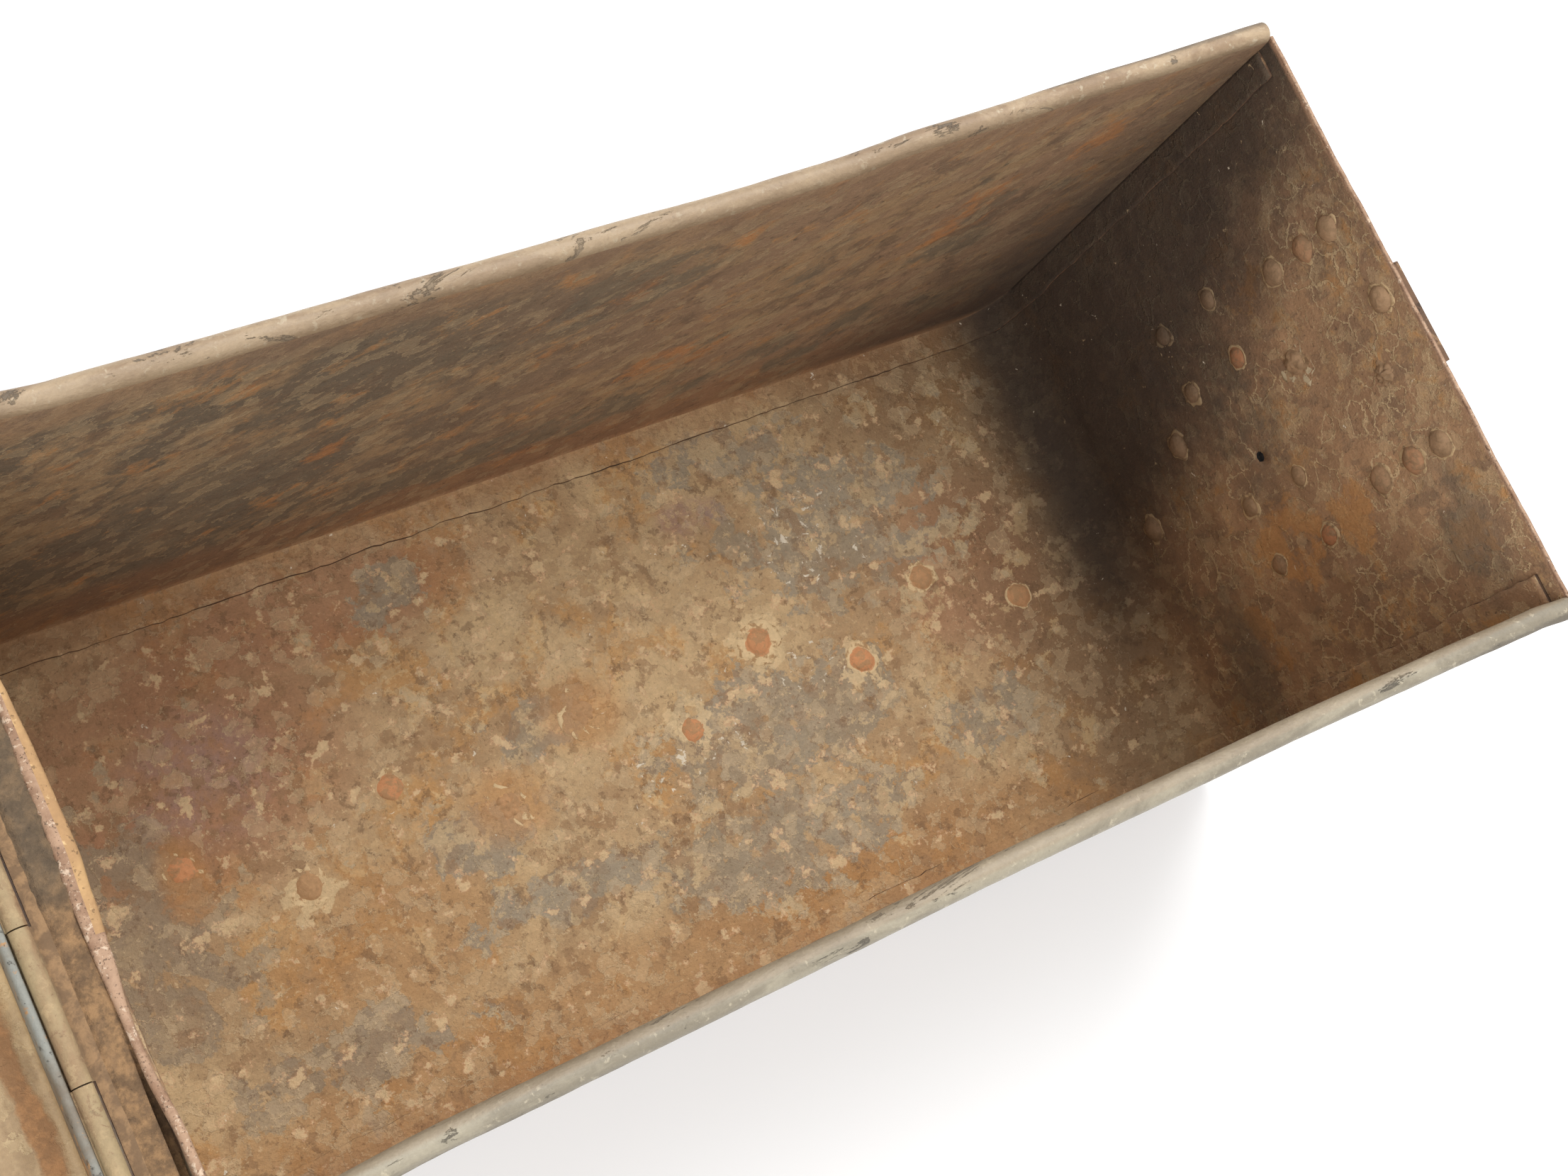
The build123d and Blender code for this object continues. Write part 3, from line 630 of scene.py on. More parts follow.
def rivet_rust():
    """Rivet heads: orange to brown from head to head, with a pale crust round each."""
    sh = Shader("rivet_rust")
    tone = sh.attribute("tone")
    crust = sh.attribute("crust")
    patch = sh.noise(0.004, 7, 0.7, 0.4)
    bright = sh.window(sh.z, FLOOR_Z + 12 * MM, FLOOR_Z + 8 * MM)
    inside = sh.window(sh.math("ABSOLUTE", sh.x), HALF_L + 2 * MM, HALF_L + 0.5 * MM)
    low = sh.mix(bright, (162, 130, 98), (186, 148, 106))
    high = sh.mix(bright, (178, 122, 84), (208, 146, 100))
    head = sh.ramp(tone, 0.25, 0.90, low, high)
    stain = sh.mix(bright, (142, 114, 84), (176, 138, 98))
    head = sh.stain(head, (patch, 0.46, 0.56, stain, 0.8))
    chalky = sh.window(tone, 0.10, 0.04)
    pale = sh.mix(bright, sh.mix(chalky, (194, 166, 126), (196, 178, 146)), (220, 192, 148))
    brown = sh.mix(bright, (144, 116, 86), (176, 140, 98))
    ring = sh.ramp(patch, 0.50, 0.58, pale, brown)
    colour = sh.ramp(crust, 0.3, 0.7, head, ring)
    outside = sh.ramp(tone, 0.3, 0.9, (106, 80, 58), (140, 98, 66))
    colour = sh.mix(inside, sh.ramp(patch, 0.44, 0.58, outside, (86, 66, 50)), colour)
    # painted shade: heads on the latch end wall darken towards its far, low corner, as the wall does
    corner_shade = sh.window(sh.total((sh.y, 1.0), (sh.z, -0.52)), -0.078, 0.010)
    corner_shade = sh.times(corner_shade, sh.minus(1.0, bright))
    colour = sh.lay(colour, sh.times(corner_shade, 0.75), CORNER_SHADE, sh.window(sh.x, 0.0, 0.2))
    colour, fine = grained(sh, colour, 0.24)
    return sh.finish(colour, 0.85, sh.total((patch, 0.9), (fine, 0.2)), 0.0006)


def dirt():
    sh = Shader("packed_dirt")
    lumps = sh.node("TexVoronoi", {"Vector": sh.pos, "Scale": 1 / 0.0030}).outputs["Distance"]
    patch = sh.noise(0.006, 9, 0.72, 0.1)
    colour = sh.ramp(patch, 0.40, 0.60, (108, 84, 60), (144, 112, 78))
    colour = sh.stain(colour, (lumps, 0.55, 0.85, (96, 76, 58), 0.4))
    strapped = sh.window(sh.math("ABSOLUTE", sh.minus(sh.y, 0.010)), 34 * MM, 20 * MM)
    colour = sh.lay(colour, strapped, (88, 78, 64), 0.6)
    colour, fine = grained(sh, colour, 0.5)
    return sh.finish(colour, 0.95, sh.total((lumps, -0.6), (patch, 0.8), (fine, 0.7)), 0.0010)


WRAP_IN = inside_wrap()
SIDE_BACK = inside_side("back_side_inside_rust", (0, 0, 0))
SIDE_FRONT = inside_side("front_side_inside_rust", (0.4, 0.2, 0.1))
OUTER = old_paint("outer_paint", (148, 136, 112))
OUTER_SIDE = old_paint("outer_side_paint", (148, 136, 112), seed=(0.3, 0.1, 0.2))
LID_PAINT = inside_lid()
RIM = rim_paint()
EDGE = plain_rust("bare_edge", (168, 136, 110), (140, 108, 84), (196, 172, 148), 0.0035, 0.0004, gloss=0.7)
STRAP_RUST = plain_rust("strap_rust", (108, 80, 58), (80, 60, 46), (140, 110, 80), 0.016, 0.0008, (0.2, 0, 0))
FITTING = plain_rust("fitting_rust", (104, 76, 56), (74, 58, 46), (138, 100, 66), 0.010, 0.0005, (0, 0.3, 0))
LEAF = hinge_rust()
FOLD = plain_rust("opened_fold", (182, 146, 100), (164, 128, 88), (200, 168, 122), 0.010, 0.0003, gloss=0.8)
WIRE = plain_rust("wire_steel", (120, 104, 86), (92, 76, 60), (150, 138, 118), 0.006, 0.0003, gloss=0.55)
# near-black painted shade for the walls of the lost rivet's hole, so that it reads as a black hole
HOLE_SHADE = plain_rust("hole_painted_shade", (30, 25, 22), (22, 18, 16), (44, 34, 28), 0.004, 0.0003, gloss=0.95)
LID_HEM = plain_rust(
    "lid_hem", (132, 132, 124), (116, 106, 92), (162, 124, 84), 0.012, 0.0005, (0.1, 0.1, 0), gloss=0.6
)
RIVET = rivet_rust()
DIRT = dirt()


# ---- the wrap: left end, floor and right end
def u_path(half_l, floor, top, radius, step):
    """Points (x, z) from the left top, down, along the floor and up to the right top."""
    side = [(-half_l, z) for z in spread(top, floor + radius, step)][:-1]
    turn = []
    for a in spread(math.pi, 1.5 * math.pi, step / radius):
        turn.append((-half_l + radius + radius * math.cos(a), floor + radius + radius * math.sin(a)))
    flat = [(x, floor) for x in spread(-half_l + radius, half_l - radius, step)][1:-1]
    left = side + turn
    return left + flat + [(-x, z) for x, z in reversed(left)]


def swell(y, z):
    """How far the left rim leans out, how much of that its fold follows, and how far the fold opens."""
    lean = along([(-100, 0), (-82, 0.3), (-62, 2.0), (-25, 2.4), (10, 1.4), (40, 0.3), (100, 0)], y / MM)
    follow = along([(-52, 1.0), (-34, 0.15), (26, 0.0), (44, 0.6)], y / MM)
    opened = along([(-34, 0), (-20, 1.0), (-6, 1.8), (14, 1.3), (34, 0.6), (46, 0.0)], y / MM)
    fade = smooth((z - (END_TOP - 9 * MM)) / (8 * MM))
    return lean * MM * fade, follow, opened * MM * fade


# raised scabs of rust on the latch end wall: y, drop from the rim, radius, height, in mm
SCABS = [
    *((-64.6, 92.0, 4.6, 1.1), (9.4, 139.4, 3.0, 1.3), (44.0, 146.0, 6.0, 0.8)),
    *((-24.0, 145.0, 7.5, 0.8), (80.0, 144.0, 6.0, 0.7), (-33.0, 70.0, 5.0, 0.5)),
]


def relief(x, y, z):
    """Height of the rust scale over the sheet, mostly raised."""
    big = rough(x, y, z, 45 * MM, 3.1) * 0.35
    mid = rough(x, y, z, 11 * MM, 7.7)
    small = rough(x, y, z, 4.5 * MM, 1.3) * 0.12
    plate = 0.22 * smooth((mid - 0.12) / 0.10)
    return (big + plate + small) * MM


def scabs_at(x, y, z):
    if x < HALF_L - 5 * MM:
        return 0.0
    up = 0.0
    for sy, drop, radius, height in SCABS:
        wobble = 1 + 0.25 * rough(y, z, x, 5 * MM, 9.0)
        d = math.hypot(y / MM - sy, (RIM_Z - z) / MM - drop) / (radius * wobble)
        up = max(up, height * smooth((1.0 - d) / 0.45))
    return up * MM


LOST = (-10.7, -107.0)  # the lost rivet: across, and up from the rim


def punch(verts, faces, index, centre, radius, slot):
    """Open a round hole at the vertex nearest to its centre; the faces round it get a slot."""
    nearest = min(range(len(verts)), key=lambda i: (Vector(verts[i]) - centre).length)
    around = set()
    for f in faces:
        if nearest in f:
            around.update(f)
    around.discard(nearest)
    normal = Vector((1, 0, 0))
    for i in around:
        spoke = Vector(verts[i]) - centre
        spoke -= normal * spoke.dot(normal)
        verts[i] = Vector((verts[i][0], *(centre + spoke.normalized() * radius)[1:]))
    for k in range(len(faces) - 1, -1, -1):
        if nearest in faces[k]:
            faces.pop(k)
            index.pop(k)
        elif around.intersection(faces[k]):
            index[k] = slot


# material slots of the wrap's faces, which thicken() counts on from
PLAIN, TOP_EDGE, OPENED, HEM_FACE, HOLE_RIM = 0, 3, 6, 9, 11


def build_wrap():
    step = 2.6 * MM
    bend_z = END_TOP - 1.3 * MM
    bend_r = 0.68 * MM
    path = u_path(HALF_L + SHEET / 2, FLOOR_Z - SHEET / 2, bend_z, CORNER_R + SHEET / 2, step)
    # inner hem of the left end, from its foot up and over: x, z and how far along the fold
    fold = [(-HALF_L + 0.75 * MM, z, 1.0) for z in spread(END_TOP - 7.0 * MM, bend_z, 1.4 * MM)]
    for a in spread(0.0, math.pi, math.pi / 6)[1:-1]:
        x = -HALF_L + 0.07 * MM + bend_r * math.cos(a)
        fold.append((x, bend_z + bend_r * math.sin(a), 0.5 + 0.5 * math.cos(a)))
    plain_top = [(HALF_L + SHEET / 2, END_TOP - drop * MM, 0.0) for drop in (0.8, 0.25)]
    stations = fold + [(x, z, 0.0) for x, z in path] + plain_top
    half_y = HALF_W + SHEET
    ys = spread(-half_y, half_y, step)
    verts = []
    count = len(stations)
    for i, (x, z, t) in enumerate(stations):
        ahead = stations[min(i + 1, count - 1)]
        behind = stations[max(i - 1, 0)]
        tangent = Vector((ahead[0] - behind[0], 0, ahead[1] - behind[1])).normalized()
        normal = Vector((-tangent.z, 0, tangent.x))
        for y in ys:
            yy = y * (HALF_W - 0.4 * MM) / half_y if t > 0 else y
            p = Vector((x, yy, z))
            if t > 0.05 or z > END_TOP - 2 * MM:
                p += normal * relief(x, y, z) * 0.4
            else:
                calm = smooth((half_y - abs(y)) / (6 * MM))
                p += normal * (relief(x, y, z) * calm + scabs_at(x, y, z))
            lip = smooth((z - (END_TOP - 12 * MM)) / (12 * MM))
            p.z -= lip * (0.35 + 0.35 * rough(x, y, 0, 24 * MM, 5.0) + 0.2 * rough(x, y, 0, 5 * MM, 2.0)) * MM
            if x < 0:
                lean, follow, opened = swell(y, z)
                p.x += -lean * (1 - t * (1 - follow)) + opened * t
            else:
                p.x += lip * 0.5 * rough(y, 0, 0, 40 * MM, 8.0) * MM
            verts.append(p)
    faces = [tuple(reversed(f)) for f in grid_faces(count, len(ys))]
    index = []
    for r in range(count - 1):
        slot = TOP_EDGE if stations[r][1] > END_TOP - 1.8 * MM else PLAIN
        folded = stations[r][0] < 0 and stations[r][2] > 0.4 and stations[r + 1][2] > 0.4
        for y in ys[:-1]:
            opened = -30 < y / MM + 3 * rough(y, 0, 0, 6 * MM, 1.0) < 44
            back = stations[r][2] > 0.4 and slot == PLAIN
            index.append(OPENED if folded and opened else HEM_FACE if back else slot)
    # the hole's rim faces take the near-black painted shade
    punch(verts, faces, index, Vector((HALF_L, LOST[0] * MM, RIM_Z + LOST[1] * MM)), 2.1 * MM, HOLE_RIM)
    slots = [WRAP_IN, OUTER, STRAP_RUST] + [EDGE] * 3 + [FOLD] * 3  # each: inner, outer, rim
    slots += [OUTER, WRAP_IN, WRAP_IN, OUTER, HOLE_SHADE]
    piece = make("wrap", verts, faces, "box", slots, index)
    thicken(piece, SHEET)
    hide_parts("wrap_sheet")


# ---- long sides with their flanges and rolled rims
BOW = {
    1: [
        *((-231, 0), (-190, 3.2), (-110, 3.9), (-35, 4.6), (10, 5.3)),
        *((50, 4.7), (90, 2.8), (170, 1.2), (231, 0)),
    ],
    -1: [(-231, 0), (-170, 2.2), (-60, 2.9), (10, 3.6), (90, 3.2), (170, 2.2), (215, 1.2), (231, 0)],
}


def bow(side, x, z):
    """How far a long side leans in, greatest at mid rim."""
    height = max(0.0, (z - FLOOR_Z) / (RIM_Z - FLOOR_Z))
    wave = 0.35 * rough(x, z, side, 70 * MM, 4.0)
    return (along(BOW[side], x / MM) * height**1.4 + wave * smooth(height * 3)) * MM


ROLLED, LAPPED = 3, 6  # material slots of a side's rolled rim and of its flange


def build_side(side):
    name = "side_back" if side > 0 else "side_front"
    node = "back_side_panel" if side > 0 else "front_side_panel"
    half = HALF_L - SHEET / 2
    floor = FLOOR_Z + SHEET / 2
    radius = CORNER_R - SHEET / 2
    turn = []
    for a in spread(math.pi / 2, 0, math.pi / 26):
        turn.append((-half + radius - radius * math.sin(a), floor + radius - radius * math.cos(a)))
    flat = [(x, floor) for x in spread(-half + radius, half - radius, 3.0 * MM)][1:-1]
    foot = turn + flat + [(-x, z) for x, z in reversed(turn)]
    verts = []
    rows = 66
    columns = len(foot)
    plate_y = HALF_W + SHEET / 2

    def place(x, y, z, bow_z=None):
        """y is the distance from the middle plane before the bow, taken at bow_z."""
        return Vector((x, side * (y - bow(side, x, z if bow_z is None else bow_z)), z))

    for r in range(rows + 1):
        t = r / rows
        for x, low in foot:
            z = low + (BEAD_Z - low) * t
            calm = smooth(t * 12) * smooth((BEAD_Z - z) / (9 * MM)) * smooth((half - abs(x)) / (6 * MM))
            lift = relief(x, side * 0.3, z) * calm
            y = plate_y - lift
            if r == 0:
                y -= 0.5 * MM
                z += 0.5 * MM
            verts.append(place(x, y, z))
    faces = grid_faces(rows + 1, columns)
    index = [PLAIN] * len(faces)

    # the flange, lapped inside the wrap: from the left edge down, along and up the right edge
    left = [r * columns for r in range(rows, 0, -1)]
    right = [r * columns + columns - 1 for r in range(1, rows + 1)]
    edge = [v for v in left + list(range(columns)) + right if v < columns or verts[v].z < FLANGE_TOP]
    widths = [1.6 * MM, 4.0 * MM, 7.0 * MM, FLANGE - 1.6 * MM, FLANGE]
    previous = edge
    for w, width in enumerate(widths):
        row = []
        for v in edge:
            base = verts[v]
            x, z = base.x, base.z
            if v < columns:
                x, z = foot[v]
            ragged = lift = 0.0
            if w >= 3:
                ragged = (1.1 * rough(x, z, side, 17 * MM, 6.0) + 0.6 * rough(x, z, side, 4 * MM, 2.0)) * MM
            if w == len(widths) - 1:
                lift = 0.5 * max(0.0, rough(x, z, side, 12 * MM, 1.0)) * MM
            y = side * (HALF_W + SHEET / 2 - width - ragged)
            bent = abs(x) > half - radius
            inward = Vector((-x, 0, FLOOR_Z + 90 * MM - z)).normalized() if bent else Vector((0, 0, 1))
            row.append(len(verts))
            verts.append(Vector((x, y, z)) + inward * lift)
        faces += zip(previous[1:], previous, row, row[1:])
        index += [LAPPED] * (len(edge) - 1)
        previous = row

    # the rolled rim, from the inner face over the top and down outside
    start = rows * columns
    previous = list(range(start, start + columns))
    mid = BEAD_R - SHEET / 2
    for a in spread(math.pi, -0.82 * math.pi, math.pi / 15)[1:]:
        row = []
        for x, _ in foot:
            dent = 0.12 + 0.22 * max(0.0, rough(x, a * 2 * MM, side, 13 * MM, 5.0))
            dent += 0.1 * abs(rough(x, a * MM, side, 5 * MM, 3.0))
            rr = mid - dent * MM
            row.append(len(verts))
            verts.append(place(x, BEAD_Y + rr * math.cos(a), BEAD_Z + rr * math.sin(a), BEAD_Z))
        faces += zip(previous, previous[1:], row[1:], row)
        index += [ROLLED] * (columns - 1)
        previous = row
    if side < 0:
        faces = [tuple(reversed(f)) for f in faces]
    inner = SIDE_BACK if side > 0 else SIDE_FRONT
    slots = [inner, OUTER_SIDE, EDGE, RIM, RIM, EDGE, WRAP_IN, WRAP_IN, STRAP_RUST]
    piece = make(name, verts, faces, "box", slots, index)
    thicken(piece, SHEET)
    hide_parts(node)


def build_wire(side):
    """The wire inside a rolled rim, bent with it."""
    node = "back_rim_wire" if side > 0 else "front_rim_wire"
    lo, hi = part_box(node)
    radius = (hi[2] - lo[2]) / 2 - 0.35 * MM
    verts = []
    ring = 16
    xs = spread(lo[0], hi[0], 6 * MM)
    for x in xs:
        for k in range(ring):
            a = 2 * math.pi * k / ring
            y = BEAD_Y + radius * math.cos(a)
            verts.append((x, side * (y - bow(side, x, BEAD_Z)), BEAD_Z + radius * math.sin(a)))
    faces = grid_faces(len(xs), ring, loop=True)
    faces.append(tuple(range(ring)))
    last = (len(xs) - 1) * ring
    faces.append(tuple(reversed(range(last, last + ring))))
    piece = make("wire_back" if side > 0 else "wire_front", verts, faces, "box", [WIRE], closed=True)
    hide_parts(node)


# ---- the strap
def build_strap():
    half = -strap_lo[0] - STRAP_T / 2
    path = u_path(half, STRAP_T / 2, strap_hi[2], CORNER_R + SHEET + STRAP_T / 2, 4 * MM)
    left_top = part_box("hinge_body_leaf")[0][2] + 26 * MM
    stations = [(x, z) for x, z in path if x > 0 or z <= left_top]
    half_y = strap_hi[1]
    middle = spread(-half_y + 3 * MM, half_y - 3 * MM, 4 * MM)
    across = [-half_y, -half_y + 0.5 * MM, *middle, half_y - 0.5 * MM, half_y]
    verts = []
    for x, z in stations:
        for y in across:
            sink = 0.10 * rough(x, y, z, 9 * MM, 2.0) * MM
            if abs(y) > half_y - 0.3 * MM:
                y = math.copysign(abs(y) - 0.25 * MM - 0.25 * MM * abs(rough(x, y, z, 8 * MM, 3.0)), y)
            verts.append((x + (sink if abs(x) > half - 1 * MM else 0.0), y, z))
    faces = grid_faces(len(stations), len(across))
    index = [0] * len(faces)
    # the hole's rim faces take the near-black painted shade
    punch(verts, faces, index, Vector((half, LOST[0] * MM, RIM_Z + LOST[1] * MM)), 2.4 * MM, 1)
    piece = make("strap", verts, faces, "box", [STRAP_RUST, STRAP_RUST, HOLE_SHADE], index)
    thicken(piece, STRAP_T - 0.1 * MM, 0, 1)
    bevel = piece.modifiers.new("edge", "BEVEL")
    bevel.width = 0.5 * MM
    bevel.segments = 2
    bevel.limit_method = "ANGLE"
    bevel.angle_limit = math.radians(50)
    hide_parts("centre_strap")


# ---- rivets
OUTER_HEAD_R = 3.8 * MM
OUTER_HEAD_H = 1.7 * MM
CAP_H = 1.4 * MM  # heads of the lid's rivets
FOOT_R = 2.6 * MM  # flush ends under the floor
FOOT_H = 0.2 * MM

# place in mm, then tone, crust width in mm and depth of pitting
SPECIAL = [
    ((231, 10.7, 156.9), (0.02, 4.4, 0.8)),
    ((231, -10.7, 195.0), (0.2, 4.2, 1.5)),
    ((231, 41.3, 203.0), (0.3, 0.8, 0.0)),
    ((231, 41.3, 187.8), (0.5, 1.2, 0.3)),
    ((67.3, 10.7, 4), (0.75, 4.4, 0.2)),
    ((144.5, 10.7, 4), (0.5, 2.2, 0.1)),
    ((104.6, -10.7, 4), (0.95, 2.2, 0.0)),
    ((27.4, -10.7, 4), (0.9, 2.4, 0.5)),
    ((-49.8, -10.7, 4), (0.45, 4.6, 1.0)),
    ((-9.9, 10.7, 4), (0.4, 4.6, 1.0)),
    ((-87.1, 10.7, 4), (0.8, 2.0, 0.3)),
    ((-127, -10.7, 4), (0.4, 3.2, 0.5)),
    ((-164.3, 10.7, 4), (0.95, 1.8, 0.6)),
]


def islands(node):
    """The (lowest, highest) corners of each separate solid in a CAD node."""
    mesh = NODES[node].data
    parent = list(range(len(mesh.vertices)))
    first = {}

    def root(i):
        while parent[i] != i:
            parent[i] = parent[parent[i]]
            i = parent[i]
        return i

    for v in mesh.vertices:
        same = first.setdefault(tuple(round(c * 1e5) for c in v.co), v.index)
        parent[v.index] = same
    for e in mesh.edges:
        a, b = root(e.vertices[0]), root(e.vertices[1])
        parent[a] = b
    spans = {}
    for v in mesh.vertices:
        key = root(v.index)
        lo, hi = spans.setdefault(key, ([9.0] * 3, [-9.0] * 3))
        for k in range(3):
            lo[k] = min(lo[k], v.co[k])
            hi[k] = max(hi[k], v.co[k])
    return sorted(spans.values())


def special(place):
    """Tone, crust width in mm and pits of a rivet that looks unlike its neighbours."""
    for spot, look in SPECIAL:
        if (Vector(spot) * MM - place).length < 8 * MM:
            return look
    return None


def head(store, base, out, radius, height, crust, tone, seed, pit=0.0):
    """One domed head on base, pointing along out, with a crusty skirt of this width."""
    verts, faces, tones, crusts = store
    out = Vector(out)
    side = out.orthogonal().normalized()
    other = out.cross(side)
    segments = 26
    rings = [(0.30, 0.97), (0.55, 0.86), (0.78, 0.64), (0.92, 0.38), (1.0, 0.12)]
    profile = [(radius * f, height * g, 0.0) for f, g in rings]
    if crust:
        for part, up in ((0.3, 0.35), (0.75, 0.28), (1.0, -0.05)):
            profile.append((radius + crust * part, up * MM, 1.0))
    profile.append((radius + crust, -0.5 * MM, 1.0))
    centre = len(verts)
    verts.append(base + out * height)
    tones.append(tone)
    crusts.append(0.0)
    for r, h, crusty in profile:
        for k in range(segments):
            a = 2 * math.pi * k / segments
            d = side * math.cos(a) + other * math.sin(a)
            spot = [b + c * r for b, c in zip(base, d)]
            n = rough(*spot, 3.2 * MM, seed)
            fine = rough(*spot, 1.3 * MM, seed + 2)
            stretch = 1 + (0.30 * n + 0.10 * fine if crusty else 0.05 * n)
            bump = h + ((0.32 * n + 0.16 * fine) * min(MM, height / 2) if h > 0 else 0.0)
            bump -= pit * MM * smooth((fine + 0.35) * 2) if h > 0 else 0.0
            verts.append(base + d * r * stretch + out * bump)
            tones.append(tone)
            crusts.append(crusty)
    for k in range(segments):
        faces.append((centre, centre + 1 + k, centre + 1 + (k + 1) % segments))
    faces.extend(grid_faces(len(profile), segments, centre + 1, loop=True))
    last = centre + 1 + (len(profile) - 1) * segments
    faces.append(tuple(reversed(range(last, last + segments))))


def build_rivets(node, body, seed):
    """Heads inside and outside for every rivet in a CAD node."""
    store = verts, faces, tones, crusts = [], [], [], []
    rng = random.Random(seed)
    for lo, hi in islands(node):
        mid = [(a + b) / 2 for a, b in zip(lo, hi)]
        span = [b - a for a, b in zip(lo, hi)]
        tone = rng.choice((0.15, 0.25, 0.3, 0.4, 0.55, 0.85))
        crust = rng.uniform(0.5, 1.8) * MM
        pit = 0.0
        look = special(Vector(mid))
        if look:
            tone, crust, pit = look[0], look[1] * MM, look[2]
        if abs(mid[0]) < HALF_L - 10 * MM and body == "box":
            radius = span[0] / 2
            base = Vector((mid[0], mid[1], FLOOR_Z))
            if not look:
                tone = rng.uniform(0.45, 0.9)
            height = 0.62 * (hi[2] - FLOOR_Z)
            head(store, base, (0, 0, 1), radius, height, crust, tone, seed, pit)
            foot = Vector((mid[0], mid[1], 0.35 * MM))
            head(store, foot, (0, 0, -1), FOOT_R, FOOT_H, 0, 0.2, seed)
            continue
        radius = span[1] / 2
        sign = 1 if mid[0] > 0 else -1
        if body == "box":
            near = sign * HALF_L
            far = hi[0] if sign > 0 else lo[0]
            tip = lo[0] if sign > 0 else hi[0]
            base = Vector((near, mid[1], mid[2]))
            height = abs(near - tip)
            head(store, base, (-sign, 0, 0), radius, height, crust, tone, seed, pit)
            foot = Vector((far - sign * OUTER_HEAD_H, mid[1], mid[2]))
            outer_radius = min(radius, OUTER_HEAD_R)
            head(store, foot, (sign, 0, 0), outer_radius, OUTER_HEAD_H, 0, tone, seed)
        else:
            for face, way in ((lo[0] + CAP_H, -1), (hi[0] - CAP_H, 1)):
                base = Vector((face, mid[1], mid[2]))
                head(store, base, (way, 0, 0), radius, CAP_H, 0, tone, seed)
    piece = make(node + "_rusted", verts, faces, body, [RIVET], closed=True)
    for name, values in (("tone", tones), ("crust", crusts)):
        layer = piece.data.attributes.new(name, "FLOAT", "POINT")
        layer.data.foreach_set("value", values)
    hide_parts(node)


# ---- packed dirt on the hinge ledge
def build_dirt():
    ledge_top = (pin_lo[2] + pin_hi[2]) / 2 - KNUCKLE_R + SHEET
    x0 = HINGE_X + 5.9 * MM
    x1 = -HALF_L - SHEET + 0.3 * MM
    xs = spread(x0, x1, 0.7 * MM)
    ys = spread(leaf_lo[1] + 2 * MM, leaf_hi[1] - 2 * MM, 1.1 * MM)
    verts = []
    for y in ys:
        for x in xs:
            across = (x - x0) / (x1 - x0)
            strapped = smooth((30 * MM - abs(y - 4 * MM)) / (10 * MM))
            near_end = smooth((-52 * MM - y) / (26 * MM))
            cell = noise.voronoi(Vector((x / (3.4 * MM), y / (3.4 * MM), 0.3)))[0][0]
            crumbs = abs(rough(x, y, 0, 2.6 * MM, 4.0)) * 0.8 + abs(rough(x, y, 0, 1.3 * MM, 2.0)) * 0.5
            crumbs += 1.5 * max(0.0, 0.75 - cell)
            broad = 0.5 + 0.5 * rough(x, y, 0, 12 * MM, 3.0)
            h = 0.25 + 0.7 * broad * smooth(across * 4) + crumbs * (0.25 + 0.75 * strapped)
            h = (h + 0.3) * smooth(across * 5) - 0.3
            h *= 1 - 0.75 * near_end
            gap = smooth((x - (-HALF_L - SHEET - STRAP_T)) / (0.8 * MM))
            h -= gap * (0.7 * (1 - strapped) + 6.5 * near_end)
            h = min(h, 2.6)
            verts.append(Vector((x, y, ledge_top + h * MM)))
    rows, columns = len(ys), len(xs)
    faces = grid_faces(rows, columns)
    low = len(verts)
    for y in ys:
        for x in xs:
            drop = 0.4 if x < -HALF_L - SHEET - STRAP_T else 9.0
            verts.append(Vector((x, y, ledge_top - drop * MM)))
    faces += [tuple(reversed(f)) for f in grid_faces(rows, columns, low)]
    border = list(range(columns))
    border += [r * columns + columns - 1 for r in range(1, rows)]
    border += [(rows - 1) * columns + c for c in range(columns - 2, -1, -1)]
    border += [r * columns for r in range(rows - 2, 0, -1)]
    for a, b in zip(border, border[1:] + border[:1]):
        faces.append((b, a, low + a, low + b))
    piece = make("ledge_dirt", verts, faces, "box", [DIRT], closed=True)


# ---- the lid
HEM = 3  # material slot of the lid's hem


